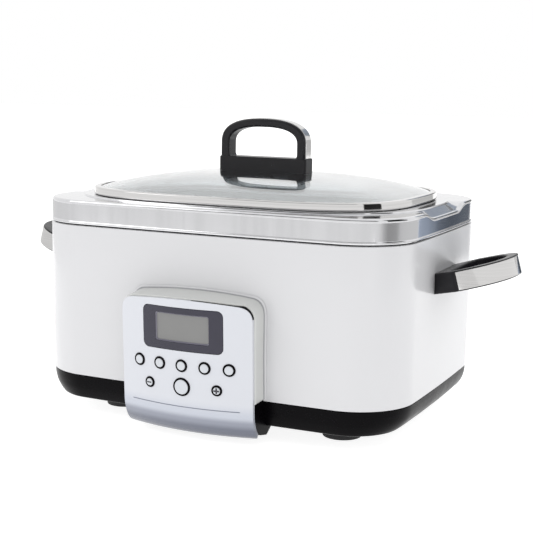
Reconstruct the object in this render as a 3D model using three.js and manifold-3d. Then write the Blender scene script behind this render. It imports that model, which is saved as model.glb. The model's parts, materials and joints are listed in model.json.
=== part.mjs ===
// A countertop slow cooker: a rounded rectangular body with a digital control panel, a lift-out
// pot with a steel rim, and a domed glass lid. Millimetres, +Z up, +X along the long side.
// The control panel faces -Y.
import * as THREE from 'three';
import { mergeVertices } from 'three/addons/utils/BufferGeometryUtils.js';
import Module from 'manifold-3d';

const wasm = await Module();
wasm.setup();

// ---------------------------------------------------------------- driving dimensions
const gap = 0.3; // running gap between neighbouring pieces

// body plan: a rounded rectangle whose sides bow outwards
const halfLength = 170;
const halfDepth = 124.7;
const cornerRadius = 48.4;
const sideBulge = 2.8;
const cornerSteps = 4;
const longSideSteps = 4;
const shortSideSteps = 4;

// body heights above the table
const baseBottom = 14.3;
const shellBottom = 36.4;
const shellTop = 167.5;
const skirtBottom = 168.5;
const rimEdge = 188.8;
const plateauTop = 190;
const shellWall = 2;
const shellFootDepth = 123.1; // half depth of the shell at its lower edge

// base
const baseFootLength = 157.8;
const baseFootDepth = 115.9;
const coverThickness = 2.5;
const footPlace = { x: 106.1, y: 66.5 };
const footRadius = 16.6;
const baseScrewPlace = { x: 132, y: 90 };
const glandPlace = { x: 96, z: 26.5 };
const glandRadius = 8;
const cordRadius = 3.7;

// pot, heater well and lid plans are superellipses of this power
const potPower = 3.4;
const potBottom = 62.2;
const potWall = 3;
const dipDepth = 5.6;
const dipFlat = 33;
const dipEnd = 56;

// lid
const lidLength = 144.5;
const lidDepth = 103.5;
const glassThickness = 3.8;
const glassEdgeTop = 195.4;
const glassApex = 211.3;
const domePower = 2.8;
const lidScrewX = 31;

// lid handle
const archWidth = 41.2;
const archHeight = 22;
const archBase = 236;
const holeWidth = 33.2;
const holeHeight = 14.7;
const archPower = 2.5;
const handleDepth = 8;
const handleBlock = { width: 42.5, depth: 8.8, top: 224 };
const stripThickness = 1.2;

// side handles
const sideTilt = 0.27;
const sideHandle = { height: 17, start: 19.7, reach: 43.6, width: 43, power: 2.43, bar: 9 };
const sideHandleZ = 128;
const sideFootWidth = 29.5;
const padReach = 14.5;
const sideScrewY = 16;

// control panel, in its own leaning frame: y runs into the body, z up, origin on the face
const panelFront = -151.6;
const panelHeight = 60;
const panelLean = 0.04;
const faceRadius = 211.6;
const faceWidth = 59.6;
const faceTop = 59;
const faceShoulder = { x: 47, z: 56.6 };
const faceSide = 44;
const faceThickness = 3;
const chinTop = -30;
const chinDrop = 25.2;
const chinSetback = 16.5;
const chinTurn = 0.86; // share of a quarter turn that the chin makes
const housingWall = 2.4;
const housingRise = 0.0012;
const displayFrame = { width: 36.3, bottom: 17.2, top: 52.2, radius: 5, thickness: 2.2 };
const displayOpening = { width: 24.2, bottom: 23.8, top: 47, radius: 1 };
const boardFront = 17;
const boardThickness = 1.6;
const switchHeight = 3.5;
const buttonTravel = 1;
const functionButtonX = [-41, -20.5, 0, 20.5, 41];
const buttons = [
  ...functionButtonX.map((x, i) => ({ name: `function_button_${i + 1}`, x, z: 5, radius: 4.5 })),
  { name: 'minus_button', x: -30.7, z: -12.6, radius: 3.8 },
  { name: 'start_button', x: 0, z: -12.6, radius: 6.9 },
  { name: 'plus_button', x: 30.7, z: -12.6, radius: 3.8 },
];
const panelScrew = { x: 52, z: 5 };
const buttonGap = 0.85;
const buttonProud = 1.3;

// ---------------------------------------------------------------- materials
function finish(color, roughness, metalness) {
  return new THREE.MeshStandardMaterial({ color, roughness, metalness });
}

const whiteEnamel = finish(0xf1f1ef, 0.25, 0);
const blackPlastic = finish(0x1c1b20, 0.4, 0);
const blackRubber = finish(0x121214, 0.8, 0);
const polishedSteel = finish(0xd8d8d8, 0.15, 1);
const stampedSteel = finish(0xb5b7ba, 0.35, 1);
const castAluminium = finish(0x9c9fa3, 0.5, 1);
const potCoating = finish(0xecebe7, 0.3, 0);
const clearGlass = finish(0xdbe6e6, 0.05, 0);
const silverFace = finish(0xd5dae3, 0.25, 0.3);
const darkFrame = finish(0x49475a, 0.3, 0);
const greyScreen = finish(0x90908f, 0.2, 0);
const lightButton = finish(0xe6e8ea, 0.3, 0);
const boardGreen = finish(0x2c5f3a, 0.6, 0);
const wireGrey = finish(0x7d7f86, 0.6, 0);

// ---------------------------------------------------------------- solids
function solid(geometry) {
  const bare = geometry.clone();
  bare.deleteAttribute('normal');
  bare.deleteAttribute('uv');
  const merged = mergeVertices(bare, 1e-4);
  const index = merged.index.array;
  const triangles = [];
  for (let i = 0; i < index.length; i += 3) {
    const [a, b, c] = [index[i], index[i + 1], index[i + 2]];
    if (a !== b && b !== c && c !== a) triangles.push(a, b, c);
  }
  const vertProperties = Float32Array.from(merged.attributes.position.array);
  const triVerts = Uint32Array.from(triangles);
  return new wasm.Manifold(new wasm.Mesh({ numProp: 3, vertProperties, triVerts }));
}

function geometryOf(manifold) {
  const mesh = manifold.getMesh();
  const geometry = new THREE.BufferGeometry();
  geometry.setAttribute('position', new THREE.BufferAttribute(mesh.vertProperties, 3));
  geometry.setIndex(new THREE.BufferAttribute(mesh.triVerts, 1));
  return geometry;
}

function cut(body, ...tools) {
  return geometryOf(tools.reduce((left, tool) => left.subtract(solid(tool)), solid(body)));
}

function join(...pieces) {
  return geometryOf(pieces.map(solid).reduce((sum, piece) => sum.add(piece)));
}

function common(first, second) {
  return geometryOf(solid(first).intersect(solid(second)));
}

// Turns every triangle over when the surface encloses a negative volume.
function outward(geometry) {
  const position = geometry.attributes.position;
  const index = geometry.index.array;
  const [a, b, c] = [new THREE.Vector3(), new THREE.Vector3(), new THREE.Vector3()];
  let volume = 0;
  for (let i = 0; i < index.length; i += 3) {
    a.fromBufferAttribute(position, index[i]);
    b.fromBufferAttribute(position, index[i + 1]);
    c.fromBufferAttribute(position, index[i + 2]);
    volume += a.dot(b.cross(c));
  }
  if (volume < 0) {
    for (let i = 0; i < index.length; i += 3) [index[i], index[i + 1]] = [index[i + 1], index[i]];
  }
  return geometry;
}

// Joins a list of rings of points into one skin. A closed loft runs back to its first ring;
// an open one is capped by a fan at each end.
function loft(rings, closed = false) {
  const count = rings[0].length;
  const vertices = rings.flat();
  const faces = [];
  const bands = closed ? rings.length : rings.length - 1;
  for (let band = 0; band < bands; band += 1) {
    const here = band * count;
    const there = ((band + 1) % rings.length) * count;
    for (let i = 0; i < count; i += 1) {
      const next = (i + 1) % count;
      faces.push(here + i, here + next, there + next, here + i, there + next, there + i);
    }
  }
  if (!closed) {
    const last = (rings.length - 1) * count;
    const centres = [rings[0], rings[rings.length - 1]].map((ring) => {
      const sum = ring.reduce((total, point) => total.add(point), new THREE.Vector3());
      return sum.divideScalar(count);
    });
    vertices.push(...centres);
    for (let i = 0; i < count; i += 1) {
      const next = (i + 1) % count;
      faces.push(vertices.length - 2, next, i);
      faces.push(vertices.length - 1, last + i, last + next);
    }
  }
  const geometry = new THREE.BufferGeometry().setFromPoints(vertices);
  geometry.setIndex(faces);
  return outward(geometry);
}

// ---------------------------------------------------------------- plans and outlines
// A rounded rectangle with bowed sides; its corner radius shrinks with its inset from the body.
function bodyPlan(length, depth) {
  const radius = Math.max(cornerRadius - (halfLength - length), 6);
  const points = [];
  const signs = [[1, 1], [-1, 1], [-1, -1], [1, -1]];
  const onCorner = (quarter, share) => {
    const [sx, sy] = signs[quarter % 4];
    const angle = ((quarter + share) * Math.PI) / 2;
    const centre = new THREE.Vector2(sx * (length - radius), sy * (depth - radius));
    return centre.add(new THREE.Vector2(Math.cos(angle), Math.sin(angle)).multiplyScalar(radius));
  };
  for (let quarter = 0; quarter < 4; quarter += 1) {
    for (let i = 0; i <= cornerSteps; i += 1) points.push(onCorner(quarter, i / cornerSteps));
    const steps = quarter % 2 === 0 ? longSideSteps : shortSideSteps;
    const [from, to] = [onCorner(quarter, 1), onCorner(quarter + 1, 0)];
    for (let i = 1; i < steps; i += 1) points.push(from.clone().lerp(to, i / steps));
  }
  return points.map(({ x, y }) => new THREE.Vector2(
    x - Math.sign(x) * sideBulge * (y / depth) ** 2,
    y - Math.sign(y) * sideBulge * (x / length) ** 2,
  ));
}

const planAngles = bodyPlan(halfLength, halfDepth).map((point) => point.angle());

function superPlan(length, depth, power = potPower) {
  return planAngles.map((angle) => {
    const [c, s] = [Math.cos(angle), Math.sin(angle)];
    const radius = (Math.abs(c / length) ** power + Math.abs(s / depth) ** power) ** (-1 / power);
    return new THREE.Vector2(radius * c, radius * s);
  });
}

const at = (plan, z) => plan.map(({ x, y }) => new THREE.Vector3(x, y, z));
const body = (inset, z) => at(bodyPlan(halfLength - inset, halfDepth - inset), z);
const well = (length, depth, z) => at(superPlan(length, depth), z);

// Points of half an ellipse-like bow, from -width to +width, reaching out to start + reach.
function bowPoints({ start, reach, width, power }, inset, steps, from = -1, to = 1) {
  return Array.from({ length: steps + 1 }, (_, i) => {
    const angle = ((from + ((to - from) * i) / steps) * Math.PI) / 2;
    const [c, s] = [Math.cos(angle), Math.sin(angle)];
    return [
      start + (reach - inset) * Math.abs(c) ** (2 / power),
      (width - inset) * Math.sign(s) * Math.abs(s) ** (2 / power),
    ];
  });
}

function outline(points) {
  return new THREE.Shape(points.map((point) => new THREE.Vector2(...point)));
}

function rectangle(x0, x1, y0, y1) {
  return outline([[x0, y0], [x1, y0], [x1, y1], [x0, y1]]);
}

function roundedBox(x0, x1, y0, y1, radius) {
  const shape = new THREE.Shape();
  shape.absarc(x1 - radius, y0 + radius, radius, -Math.PI / 2, 0);
  shape.absarc(x1 - radius, y1 - radius, radius, 0, Math.PI / 2);
  shape.absarc(x0 + radius, y1 - radius, radius, Math.PI / 2, Math.PI);
  shape.absarc(x0 + radius, y0 + radius, radius, Math.PI, 1.5 * Math.PI);
  return shape;
}

// ---------------------------------------------------------------- simple solids
function box(x0, x1, y0, y1, z0, z1) {
  const geometry = new THREE.BoxGeometry(x1 - x0, y1 - y0, z1 - z0);
  return geometry.translate((x0 + x1) / 2, (y0 + y1) / 2, (z0 + z1) / 2);
}

function rod(radius, z0, z1, segments = 16) {
  const geometry = new THREE.CylinderGeometry(radius, radius, z1 - z0, segments);
  return geometry.rotateX(Math.PI / 2).translate(0, 0, (z0 + z1) / 2);
}

// Extrudes a shape along X (shape x becomes y, shape y becomes z), Y (x stays, y becomes z) or Z.
function prism(shape, axis, from, to, options = {}) {
  const settings = { depth: to - from, bevelEnabled: false, curveSegments: 5, ...options };
  const geometry = new THREE.ExtrudeGeometry(shape, settings);
  const [x, y, z] = [new THREE.Vector3(1, 0, 0), new THREE.Vector3(0, 1, 0), new THREE.Vector3(0, 0, 1)];
  if (axis === 'X') {
    geometry.applyMatrix4(new THREE.Matrix4().makeBasis(y, z, x)).translate(from, 0, 0);
  } else if (axis === 'Y') {
    geometry.applyMatrix4(new THREE.Matrix4().makeBasis(x, z, y.negate())).translate(0, to, 0);
  } else {
    geometry.translate(0, 0, from);
  }
  return geometry;
}

// Spins a profile of [radius, height] pairs about Z.
function turned(profile, segments = 24) {
  const points = profile.map(([radius, height]) => new THREE.Vector2(radius, height));
  return new THREE.LatheGeometry(points, segments).rotateX(Math.PI / 2);
}

// Sweeps a section along a smooth path.
function swept(section, points, steps) {
  const path = new THREE.CatmullRomCurve3(points.map((point) => new THREE.Vector3(...point)));
  return new THREE.ExtrudeGeometry(section, { steps, extrudePath: path, curveSegments: 2 });
}

function circle(radius) {
  const shape = new THREE.Shape();
  shape.absarc(0, 0, radius, 0, 2 * Math.PI);
  return shape;
}

function bevelledScrew(headRadius, headHeight, shankRadius, length) {
  return turned([[0, 0], [headRadius, 0], [headRadius, headHeight], [shankRadius, headHeight],
    [shankRadius, length], [0, length]], 8);
}

// ---------------------------------------------------------------- scene graph
const cooker = new THREE.Group();

function add(name, geometry, material, parent = cooker) {
  const mesh = new THREE.Mesh(geometry, material);
  mesh.name = name;
  parent.add(mesh);
  return mesh;
}

const panel = new THREE.Group();
panel.position.set(0, panelFront, panelHeight);
panel.rotation.x = panelLean;
panel.updateMatrix();
cooker.add(panel);
const toPanel = panel.matrix.clone().invert();

// Panel screws run forward from inside the shell into the housing's posts.
function panelScrewHoles(radius) {
  return [-1, 1].map((side) => {
    const hole = rod(radius, 18, 36, 10).rotateX(-Math.PI / 2);
    return hole.translate(side * panelScrew.x, 0, panelScrew.z);
  });
}

// Side-handle screws run along X from inside the shell.
function sideHoles(radius) {
  const height = sideHandleZ;
  return [-1, 1].flatMap((side) => [-sideScrewY, sideScrewY].map((y) => {
    const hole = rod(radius, 150, 190, 10).rotateY((side * Math.PI) / 2);
    return hole.translate(0, y, height);
  }));
}

// ---------------------------------------------------------------- body
const shellFoot = (inset, z) => at(bodyPlan(halfLength - inset, shellFootDepth - inset), z);

const shellSkin = loft([
  shellFoot(0.6, shellBottom),
  shellFoot(0, shellBottom + 1),
  body(0, 70),
  body(0, shellTop - 1),
  body(0.8, shellTop),
  body(shellWall, shellTop),
  body(shellWall, 70),
  shellFoot(shellWall, shellBottom),
], true);
const panelWindow = box(-22, 22, -130, -116, 61, 79);
const shellScrewHoles = panelScrewHoles(2.1).map((hole) => hole.applyMatrix4(panel.matrix));
add('outer_shell', cut(shellSkin, panelWindow, ...sideHoles(2.3), ...shellScrewHoles), whiteEnamel);

// The base tapers inwards below the shell and turns under; its upstand fits inside the shell.
const baseShelf = shellBottom - gap;
const coverTop = baseBottom + coverThickness;
const baseFlange = { length: 130, depth: 88, bottom: coverTop + gap, top: coverTop + gap + 2.5 };
const baseRing = loft([
  at(bodyPlan(169.4, 122.7), baseShelf),
  at(bodyPlan(168.9, 122.3), 30),
  at(bodyPlan(167, 121.1), 24),
  at(bodyPlan(163.2, 118.9), 18.5),
  at(bodyPlan(baseFootLength, baseFootDepth), baseBottom),
  at(bodyPlan(baseFootLength - 2.6, baseFootDepth - 2.6), baseBottom),
  at(bodyPlan(baseFootLength - 2.2, baseFootDepth - 2.2), baseFlange.bottom),
  at(bodyPlan(baseFlange.length, baseFlange.depth), baseFlange.bottom),
  at(bodyPlan(baseFlange.length, baseFlange.depth), baseFlange.top),
  at(bodyPlan(161, 116.4), baseFlange.top),
  at(bodyPlan(164.4, 118.5), 24),
  at(bodyPlan(165, 118.4), 44),
  at(bodyPlan(167.4, 120.6), 44),
  at(bodyPlan(167.4, 120.6), baseShelf),
], true);

const baseScrews = [];
for (const x of [-baseScrewPlace.x, baseScrewPlace.x]) {
  for (const y of [-baseScrewPlace.y, baseScrewPlace.y]) baseScrews.push({ x, y });
}
const bosses = baseScrews.map(({ x, y }) => rod(5, baseFlange.top - 0.5, 28, 10).translate(x, y, 0));
const bossHoles = baseScrews.map(({ x, y }) => rod(2.1, 10, 27, 8).translate(x, y, 0));
const glandHole = rod(glandRadius + gap - 2, 100, 130, 16).rotateX(-Math.PI / 2);
glandHole.translate(glandPlace.x, 0, glandPlace.z);
add('base_skirt', cut(join(baseRing, ...bosses), glandHole, ...bossHoles), blackPlastic);

const coverPlan = bodyPlan(baseFootLength - 2.6 - gap, baseFootDepth - 2.6 - gap);
const headHoles = baseScrews.map(({ x, y }) => {
  return rod(4.3, baseBottom - 1, baseBottom + 1.6, 10).translate(x, y, 0);
});
const ventSlots = [-2, -1, 0, 1, 2].map((i) => box(i * 12 - 1.5, i * 12 + 1.5, -24, 24, 10, 20));
const coverPlate = loft([at(coverPlan, baseBottom), at(coverPlan, coverTop)]);
add('bottom_cover', cut(coverPlate, ...bossHoles, ...headHoles, ...ventSlots), blackPlastic);

baseScrews.forEach(({ x, y }, i) => {
  const screw = add(`base_screw_${i + 1}`, bevelledScrew(4, 1.3, 1.8, 11), stampedSteel);
  screw.position.set(x, y, baseBottom);
});

const footNames = ['rear_right', 'rear_left', 'front_left', 'front_right'];
const footSigns = [[1, 1], [-1, 1], [-1, -1], [1, -1]];
footNames.forEach((name, i) => {
  const profile = [[0, 0], [footRadius - 1.8, 0], [footRadius, 1.8], [footRadius - 0.8, baseBottom - gap],
    [0, baseBottom - gap]];
  const foot = add(`foot_${name}`, turned(profile, 20), blackRubber);
  foot.position.set(footSigns[i][0] * footPlace.x, footSigns[i][1] * footPlace.y, 0);
});

// The cord outlet is a flanged bush through the rear of the base.
const glandInner = glandRadius - 2;
const gland = turned([[cordRadius, 0], [glandInner, 0], [glandInner, 7], [glandRadius + 1, 7],
  [glandRadius + 1, 9.5], [cordRadius, 9.5], [cordRadius, 0]], 16);
const glandBush = add('cord_gland', gland, blackPlastic);
glandBush.rotation.x = -Math.PI / 2;
glandBush.position.set(glandPlace.x, halfDepth - 9.5, glandPlace.z);

// ---------------------------------------------------------------- heater
const seatBottom = 164.8;
add('rim_seat', loft([
  body(shellWall + gap, seatBottom),
  body(shellWall + gap, skirtBottom - gap),
  well(153, 111, skirtBottom - gap),
  well(153, 111, seatBottom),
], true), blackPlastic);

const wellFlange = seatBottom - gap;
const wellBottom = 48;
const wellShell = loft([
  well(134, 92, wellBottom + 1),
  well(141, 99, 55),
  well(143, 101, 66),
  well(149.5, 107.5, wellFlange),
  body(4, wellFlange),
  body(4, wellFlange - 1),
  well(150.5, 108.5, wellFlange - 1),
  well(144, 102, 66),
  well(142, 100, 54.5),
  well(135, 93, wellBottom),
]);
add('heater_well', cut(wellShell, rod(12, 40, 60, 16)), stampedSteel);

const plateTop = potBottom - gap;
const plateBottom = wellBottom + 1 + gap;
const plateCasting = loft([
  well(112, 71, plateBottom),
  well(118, 77, plateBottom + 4),
  well(118, 77, plateTop - 1),
  well(117, 76, plateTop),
]);
add('heating_plate', cut(plateCasting, rod(12, 40, 70, 16)), castAluminium);

const bandFoot = 78;
const bandHead = 132;
const wellOuter = (z) => ((z - 66) / (wellFlange - 67)) * 6.5;
const heaterBand = (offset, z) => well(144 + wellOuter(z) + offset, 102 + wellOuter(z) + offset, z);
add('side_heater', loft([
  heaterBand(0.5, bandFoot), heaterBand(2, bandFoot), heaterBand(2, bandHead), heaterBand(0.5, bandHead),
], true), castAluminium);

add('heat_shield', loft([
  well(150, 106, 33.5), well(152, 108, 36), well(151.2, 107.2, 36.4), well(149.4, 105.4, 34.3),
]), stampedSteel);

// The temperature sensor is a spring-loaded button in the middle of the heating plate.
const sensorTop = potBottom - gap;
const sensorSection = [[0, 0], [3.6, 0], [3.6, 15.4], [9.5, 15.4], [9.5, 17], [8.8, 21.4], [0, 21.9]];
const sensor = turned(sensorSection, 16);
const sensorMesh = add('temperature_sensor', sensor, castAluminium);
sensorMesh.position.z = sensorTop - 21.9;

const bracketFloor = 36.9;
const bracketSection = [
  [4.1, 0], [13.5, 0], [13.5, 10.8], [12.3, 10.8], [12.3, 1.2], [4.1, 1.2], [4.1, 0],
];
const bracket = turned(bracketSection, 16);
add('sensor_bracket', bracket, stampedSteel).position.z = bracketFloor;

const springFoot = bracketFloor + 1.2 + 0.9;
const springHead = sensorTop - 21.9 + 15.4 - 0.9;
class Helix extends THREE.Curve {
  getPoint(t, target = new THREE.Vector3()) {
    const angle = t * springTurns * 2 * Math.PI;
    const height = springFoot + t * (springHead - springFoot);
    return target.set(springRadius * Math.cos(angle), springRadius * Math.sin(angle), height);
  }
}
const springTurns = 3.5;
const springRadius = 6;
const wireRadius = 0.6;
const springSection = outline([[wireRadius, 0], [0, wireRadius], [-wireRadius, 0], [0, -wireRadius]]);
const spring = new THREE.ExtrudeGeometry(springSection, { steps: 36, extrudePath: new Helix() });
add('sensor_spring', spring, stampedSteel);

const fuse = { x: 60, z: 44, radius: 2.8, halfLength: 12 };
const fuseBody = rod(fuse.radius, -fuse.halfLength, fuse.halfLength, 12).rotateY(Math.PI / 2);
add('thermal_fuse', fuseBody, stampedSteel).position.set(fuse.x, 0, fuse.z);
const clipHole = rod(fuse.radius + gap, -10, 10, 12).rotateY(Math.PI / 2);
const clipBlock = box(-3, 3, -7, 7, -4.2, wellBottom - gap - fuse.z);
const clip = add('fuse_clip', cut(clipBlock, clipHole), stampedSteel);
clip.position.set(fuse.x, 0, fuse.z);

const standoffs = [[-31, -62], [31, -62], [-31, -20], [31, -20]];
const powerParts = [
  box(-35, 35, -66, -16, 20, 21.6),
  box(-30, -12, -60, -44, 21.5, 31),
  box(-4, 14, -56, -30, 21.5, 30),
  box(20, 31, -60, -40, 21.5, 32),
  rod(6, 21.5, 32, 12).translate(-22, -28, 0),
  ...standoffs.map(([x, y]) => rod(2.5, coverTop + gap, 20.5, 8).translate(x, y, 0)),
];
add('power_board', join(...powerParts), boardGreen);

add('power_lead', swept(circle(3), [
  [glandPlace.x, 114, glandPlace.z], [glandPlace.x, 96, 25.5], [84, 60, 25],
  [60, 10, 25], [46, -14, 25.5], [35.6, -24, 26],
], 18), wireGrey);
add('heater_lead', swept(circle(1.4), [
  [35.6, -54, 25], [70, -56, 25], [120, -40, 25], [150, -20, 28], [158, -18, 44], [158, -18, 72],
  [154, -18, 90], [148.6, -18, 92],
], 24), wireGrey);
add('panel_ribbon', swept(rectangle(-8, 8, -0.4, 0.4), [
  [0, -67, 25], [0, -90, 24], [0, -106, 27], [0, -113.5, 38],
  [0, -114.5, 54], [0, -116, 64], [0, -121, 69.5], [0, -132.4, 70],
], 16), wireGrey);

// ---------------------------------------------------------------- control panel
const faceBend = (x) => x ** 2 / (2 * faceRadius);

// Bends a flat solid so that its front follows the face.
function bent(geometry) {
  const position = geometry.attributes.position;
  for (let i = 0; i < position.count; i += 1) {
    position.setY(i, position.getY(i) + faceBend(position.getX(i)));
  }
  return geometry;
}

// The panel outline, seen from the front, with an arched top.
function panelOutline(inset, bottom) {
  const width = faceWidth - inset;
  const shoulder = new THREE.Vector2(faceShoulder.x - inset, faceShoulder.z - inset);
  const crown = 2 * (faceTop - inset) - shoulder.y;
  const shape = new THREE.Shape();
  shape.moveTo(-width, bottom);
  shape.lineTo(width, bottom);
  shape.lineTo(width, faceSide);
  shape.quadraticCurveTo(width, shoulder.y - 0.6, shoulder.x, shoulder.y);
  shape.quadraticCurveTo(0, crown, -shoulder.x, shoulder.y);
  shape.quadraticCurveTo(-width, shoulder.y - 0.6, -width, faceSide);
  shape.closePath();
  return shape;
}

// The side profile of the face: straight, then rolled back under the chin.
function faceLine(setback) {
  const steps = 7;
  const line = [new THREE.Vector2(setback, faceTop + 4), new THREE.Vector2(setback, chinTop)];
  for (let i = 1; i <= steps; i += 1) {
    const angle = (i / steps) * chinTurn * (Math.PI / 2);
    line.push(new THREE.Vector2(
      setback + (chinSetback - setback) * (1 - Math.cos(angle)),
      chinTop - (chinDrop - setback * 0.9) * Math.sin(angle),
    ));
  }
  return line;
}

const faceProfile = new THREE.Shape([...faceLine(0), ...faceLine(faceThickness).reverse()]);
const faceSheet = bent(prism(faceProfile, 'X', -70, 70, { steps: 12 }));
const faceBlank = common(faceSheet, prism(panelOutline(0, -70), 'Y', -5, 60, { curveSegments: 6 }));

function frameShape({ width, bottom, top, radius }, grow = 0) {
  return roundedBox(-width - grow, width + grow, bottom - grow, top + grow, radius + grow);
}

function onFace({ x, z }) {
  return { position: [x, faceBend(x), z], turn: Math.atan(x / faceRadius) };
}

function placeOnFace(object, button) {
  const { position, turn } = onFace(button);
  object.position.set(...position);
  object.rotation.z = turn;
  object.updateMatrix();
  return object;
}

const buttonHoles = buttons.map((button) => {
  const hole = rod(button.radius + buttonGap, -8, 8, 12).rotateX(-Math.PI / 2);
  return hole.applyMatrix4(placeOnFace(new THREE.Object3D(), button).matrix);
});
const displayHole = prism(frameShape(displayFrame, gap), 'Y', -5, 15);
add('faceplate', cut(faceBlank, displayHole, ...buttonHoles), silverFace, panel);

const frameFront = 0.3;
const frameSlab = rectangle(frameFront, frameFront + displayFrame.thickness, 10, 60);
const frameSheet = bent(prism(frameSlab, 'X', -40, 40, { steps: 8 }));
const frameBlank = common(frameSheet, prism(frameShape(displayFrame), 'Y', -5, 15));
add('display_frame', cut(frameBlank, prism(frameShape(displayOpening), 'Y', -5, 15)), darkFrame, panel);

const screenFront = 1.5;
const screenHalf = displayOpening.width - gap;
const [screenBottom, screenTop] = [displayOpening.bottom + gap, displayOpening.top - gap];
const screenSlab = rectangle(screenFront, screenFront + 2.5, screenBottom, screenTop);
const screenSheet = bent(prism(screenSlab, 'X', -screenHalf, screenHalf, { steps: 6 }));
add('lcd_panel', screenSheet, greyScreen, panel);

const stemEnd = (x) => boardFront - switchHeight - buttonTravel - 0.6 - faceBend(x);
const switches = buttons.map(({ x, z }) => {
  const along = boardFront - faceBend(x);
  const centre = x - Math.sin(Math.atan(x / faceRadius)) * along;
  return box(centre - 3, centre + 3, boardFront - switchHeight, boardFront + 0.5, z - 3, z + 3);
});
add('control_board', join(
  box(-45.5, 45.5, boardFront, boardFront + boardThickness, -22, 50),
  box(-26, 26, 6.4, boardFront + 0.5, 22.5, 48.5),
  ...switches,
), boardGreen, panel);

for (const button of buttons) {
  const { radius } = button;
  const end = stemEnd(button.x);
  const profile = [[0, -buttonProud], [radius - 0.6, -buttonProud + 0.3], [radius, -buttonProud + 0.9],
    [radius, faceThickness + 0.6], [radius + 1.6, faceThickness + 0.6],
    [radius + 1.6, faceThickness + 1.8], [2, faceThickness + 1.8], [2, end], [0, end]];
  const cap = turned(profile, 12).rotateX(-Math.PI / 2);
  placeOnFace(add(button.name, cap, lightButton, panel), button);
}

// Everything of the body that the panel has to clear, as one solid block in the panel's frame.
const clearance = loft([
  at(bodyPlan(baseFootLength + gap, baseFootDepth + gap), baseBottom - gap),
  at(bodyPlan(163.2 + gap, 118.9 + gap), 18.5),
  at(bodyPlan(167 + gap, 121.1 + gap), 24),
  at(bodyPlan(168.9 + gap, 122.3 + gap), 30),
  at(bodyPlan(169.4 + gap, shellFootDepth + gap), baseShelf),
  body(-gap, 70),
  body(-gap, 160),
]).applyMatrix4(toPanel);

function rising(geometry) {
  const position = geometry.attributes.position;
  for (let i = 0; i < position.count; i += 1) {
    const z = position.getZ(i);
    if (z > 0) position.setZ(i, z * (1 + housingRise * position.getY(i)));
  }
  return geometry;
}

const housingFoot = shellBottom - panelHeight;
const behindFace = bent(prism(rectangle(faceThickness + gap, 60, -70, 70), 'X', -70, 70, { steps: 12 }));
const housingOuter = panelOutline(-0.7, housingFoot);
const housingInner = panelOutline(housingWall - 0.7, housingFoot - 20);
const housingBlock = rising(prism(housingOuter, 'Y', 0, 40, { curveSegments: 6 }));
const housingCavity = rising(prism(housingInner, 'Y', -5, 45, { curveSegments: 6 }));
const screwPosts = [-1, 1].map((side) => box(side * 53 - 6, side * 53 + 6, 14, 40, 0, 10));
const housingTube = cut(housingBlock, housingCavity);
const housingFull = common(join(housingTube, ...screwPosts), behindFace);
add('panel_housing', cut(housingFull, clearance, ...panelScrewHoles(1.8)), whiteEnamel, panel);

// The black foot of the panel closes the chin from behind and reaches under the body.
const footTop = housingFoot - gap;
const footLine = faceLine(faceThickness + gap).slice(1).map(({ x, y }) => [x, Math.min(y, footTop)]);
const footProfile = outline([
  [faceThickness + gap, footTop], ...footLine, [25, -54.6], [36.5, -48], [36.5, footTop],
]);
const cavityProfile = outline([[9, footTop + 5], [9, -40], [17, -48], [24, -48], [24, footTop + 5]]);
const footCavity = prism(cavityProfile, 'X', -faceWidth + 3, faceWidth - 3);
const footBlock = common(
  bent(prism(footProfile, 'X', -70, 70, { steps: 12 })),
  box(-faceWidth, faceWidth, -20, 60, -70, 0),
);
add('panel_base', cut(footBlock, footCavity, clearance), blackPlastic, panel);

[-1, 1].forEach((side, i) => {
  const screw = add(`panel_screw_${i + 1}`, bevelledScrew(3.4, 1.2, 1.5, 9), stampedSteel, panel);
  screw.rotation.x = Math.PI / 2;
  screw.position.set(side * panelScrew.x, 31, panelScrew.z);
});

// ---------------------------------------------------------------- side handles
// Drawn flat in x and y, x outwards from the body side, then leant upwards.
const coreShape = outline([
  [-8, -sideFootWidth + 3], [0, -sideFootWidth], ...bowPoints(sideHandle, 0, 14),
  [0, sideFootWidth], [-8, sideFootWidth - 3],
]);
const fingerHole = [[padReach, -26], ...bowPoints(sideHandle, sideHandle.bar, 12), [padReach, 26]];
coreShape.holes.push(outline(fingerHole));
const stripReach = 0.965; // share of the bow that the bright strip covers
function stripRing(outerInset, innerInset) {
  const outer = bowPoints(sideHandle, outerInset, 14, -stripReach, stripReach);
  const inner = bowPoints(sideHandle, innerInset, 14, -stripReach, stripReach);
  return outline([...outer, ...inner.reverse()]);
}
const stripHalf = sideHandle.height / 2 - 0.9;
const handleTilt = new THREE.Matrix4().makeRotationY(-sideTilt).setPosition(halfLength, 0, sideHandleZ);
const coreBlank = cut(
  prism(coreShape, 'Z', -sideHandle.height / 2, sideHandle.height / 2),
  prism(stripRing(-2, stripThickness + 2 * gap), 'Z', -stripHalf - gap, stripHalf + gap),
).applyMatrix4(handleTilt);
const shellBlock = loft([body(-gap, 100), body(-gap, 160)]);
const sideCore = cut(coreBlank, shellBlock, ...sideHoles(2.1));
const sideStrip = prism(stripRing(0, stripThickness), 'Z', -stripHalf, stripHalf);
sideStrip.applyMatrix4(handleTilt);

['right', 'left'].forEach((side, i) => {
  const mount = new THREE.Group();
  mount.rotation.z = i * Math.PI;
  cooker.add(mount);
  add(`${side}_handle`, sideCore, blackPlastic, mount);
  add(`${side}_handle_strip`, sideStrip, polishedSteel, mount);
  [-sideScrewY, sideScrewY].forEach((y, k) => {
    const name = `${side}_handle_screw_${k + 1}`;
    const screw = add(name, bevelledScrew(4, 1.8, 1.8, 16), stampedSteel, mount);
    screw.rotation.y = Math.PI / 2;
    screw.position.set(165.6, y, sideHandleZ);
  });
});

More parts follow.
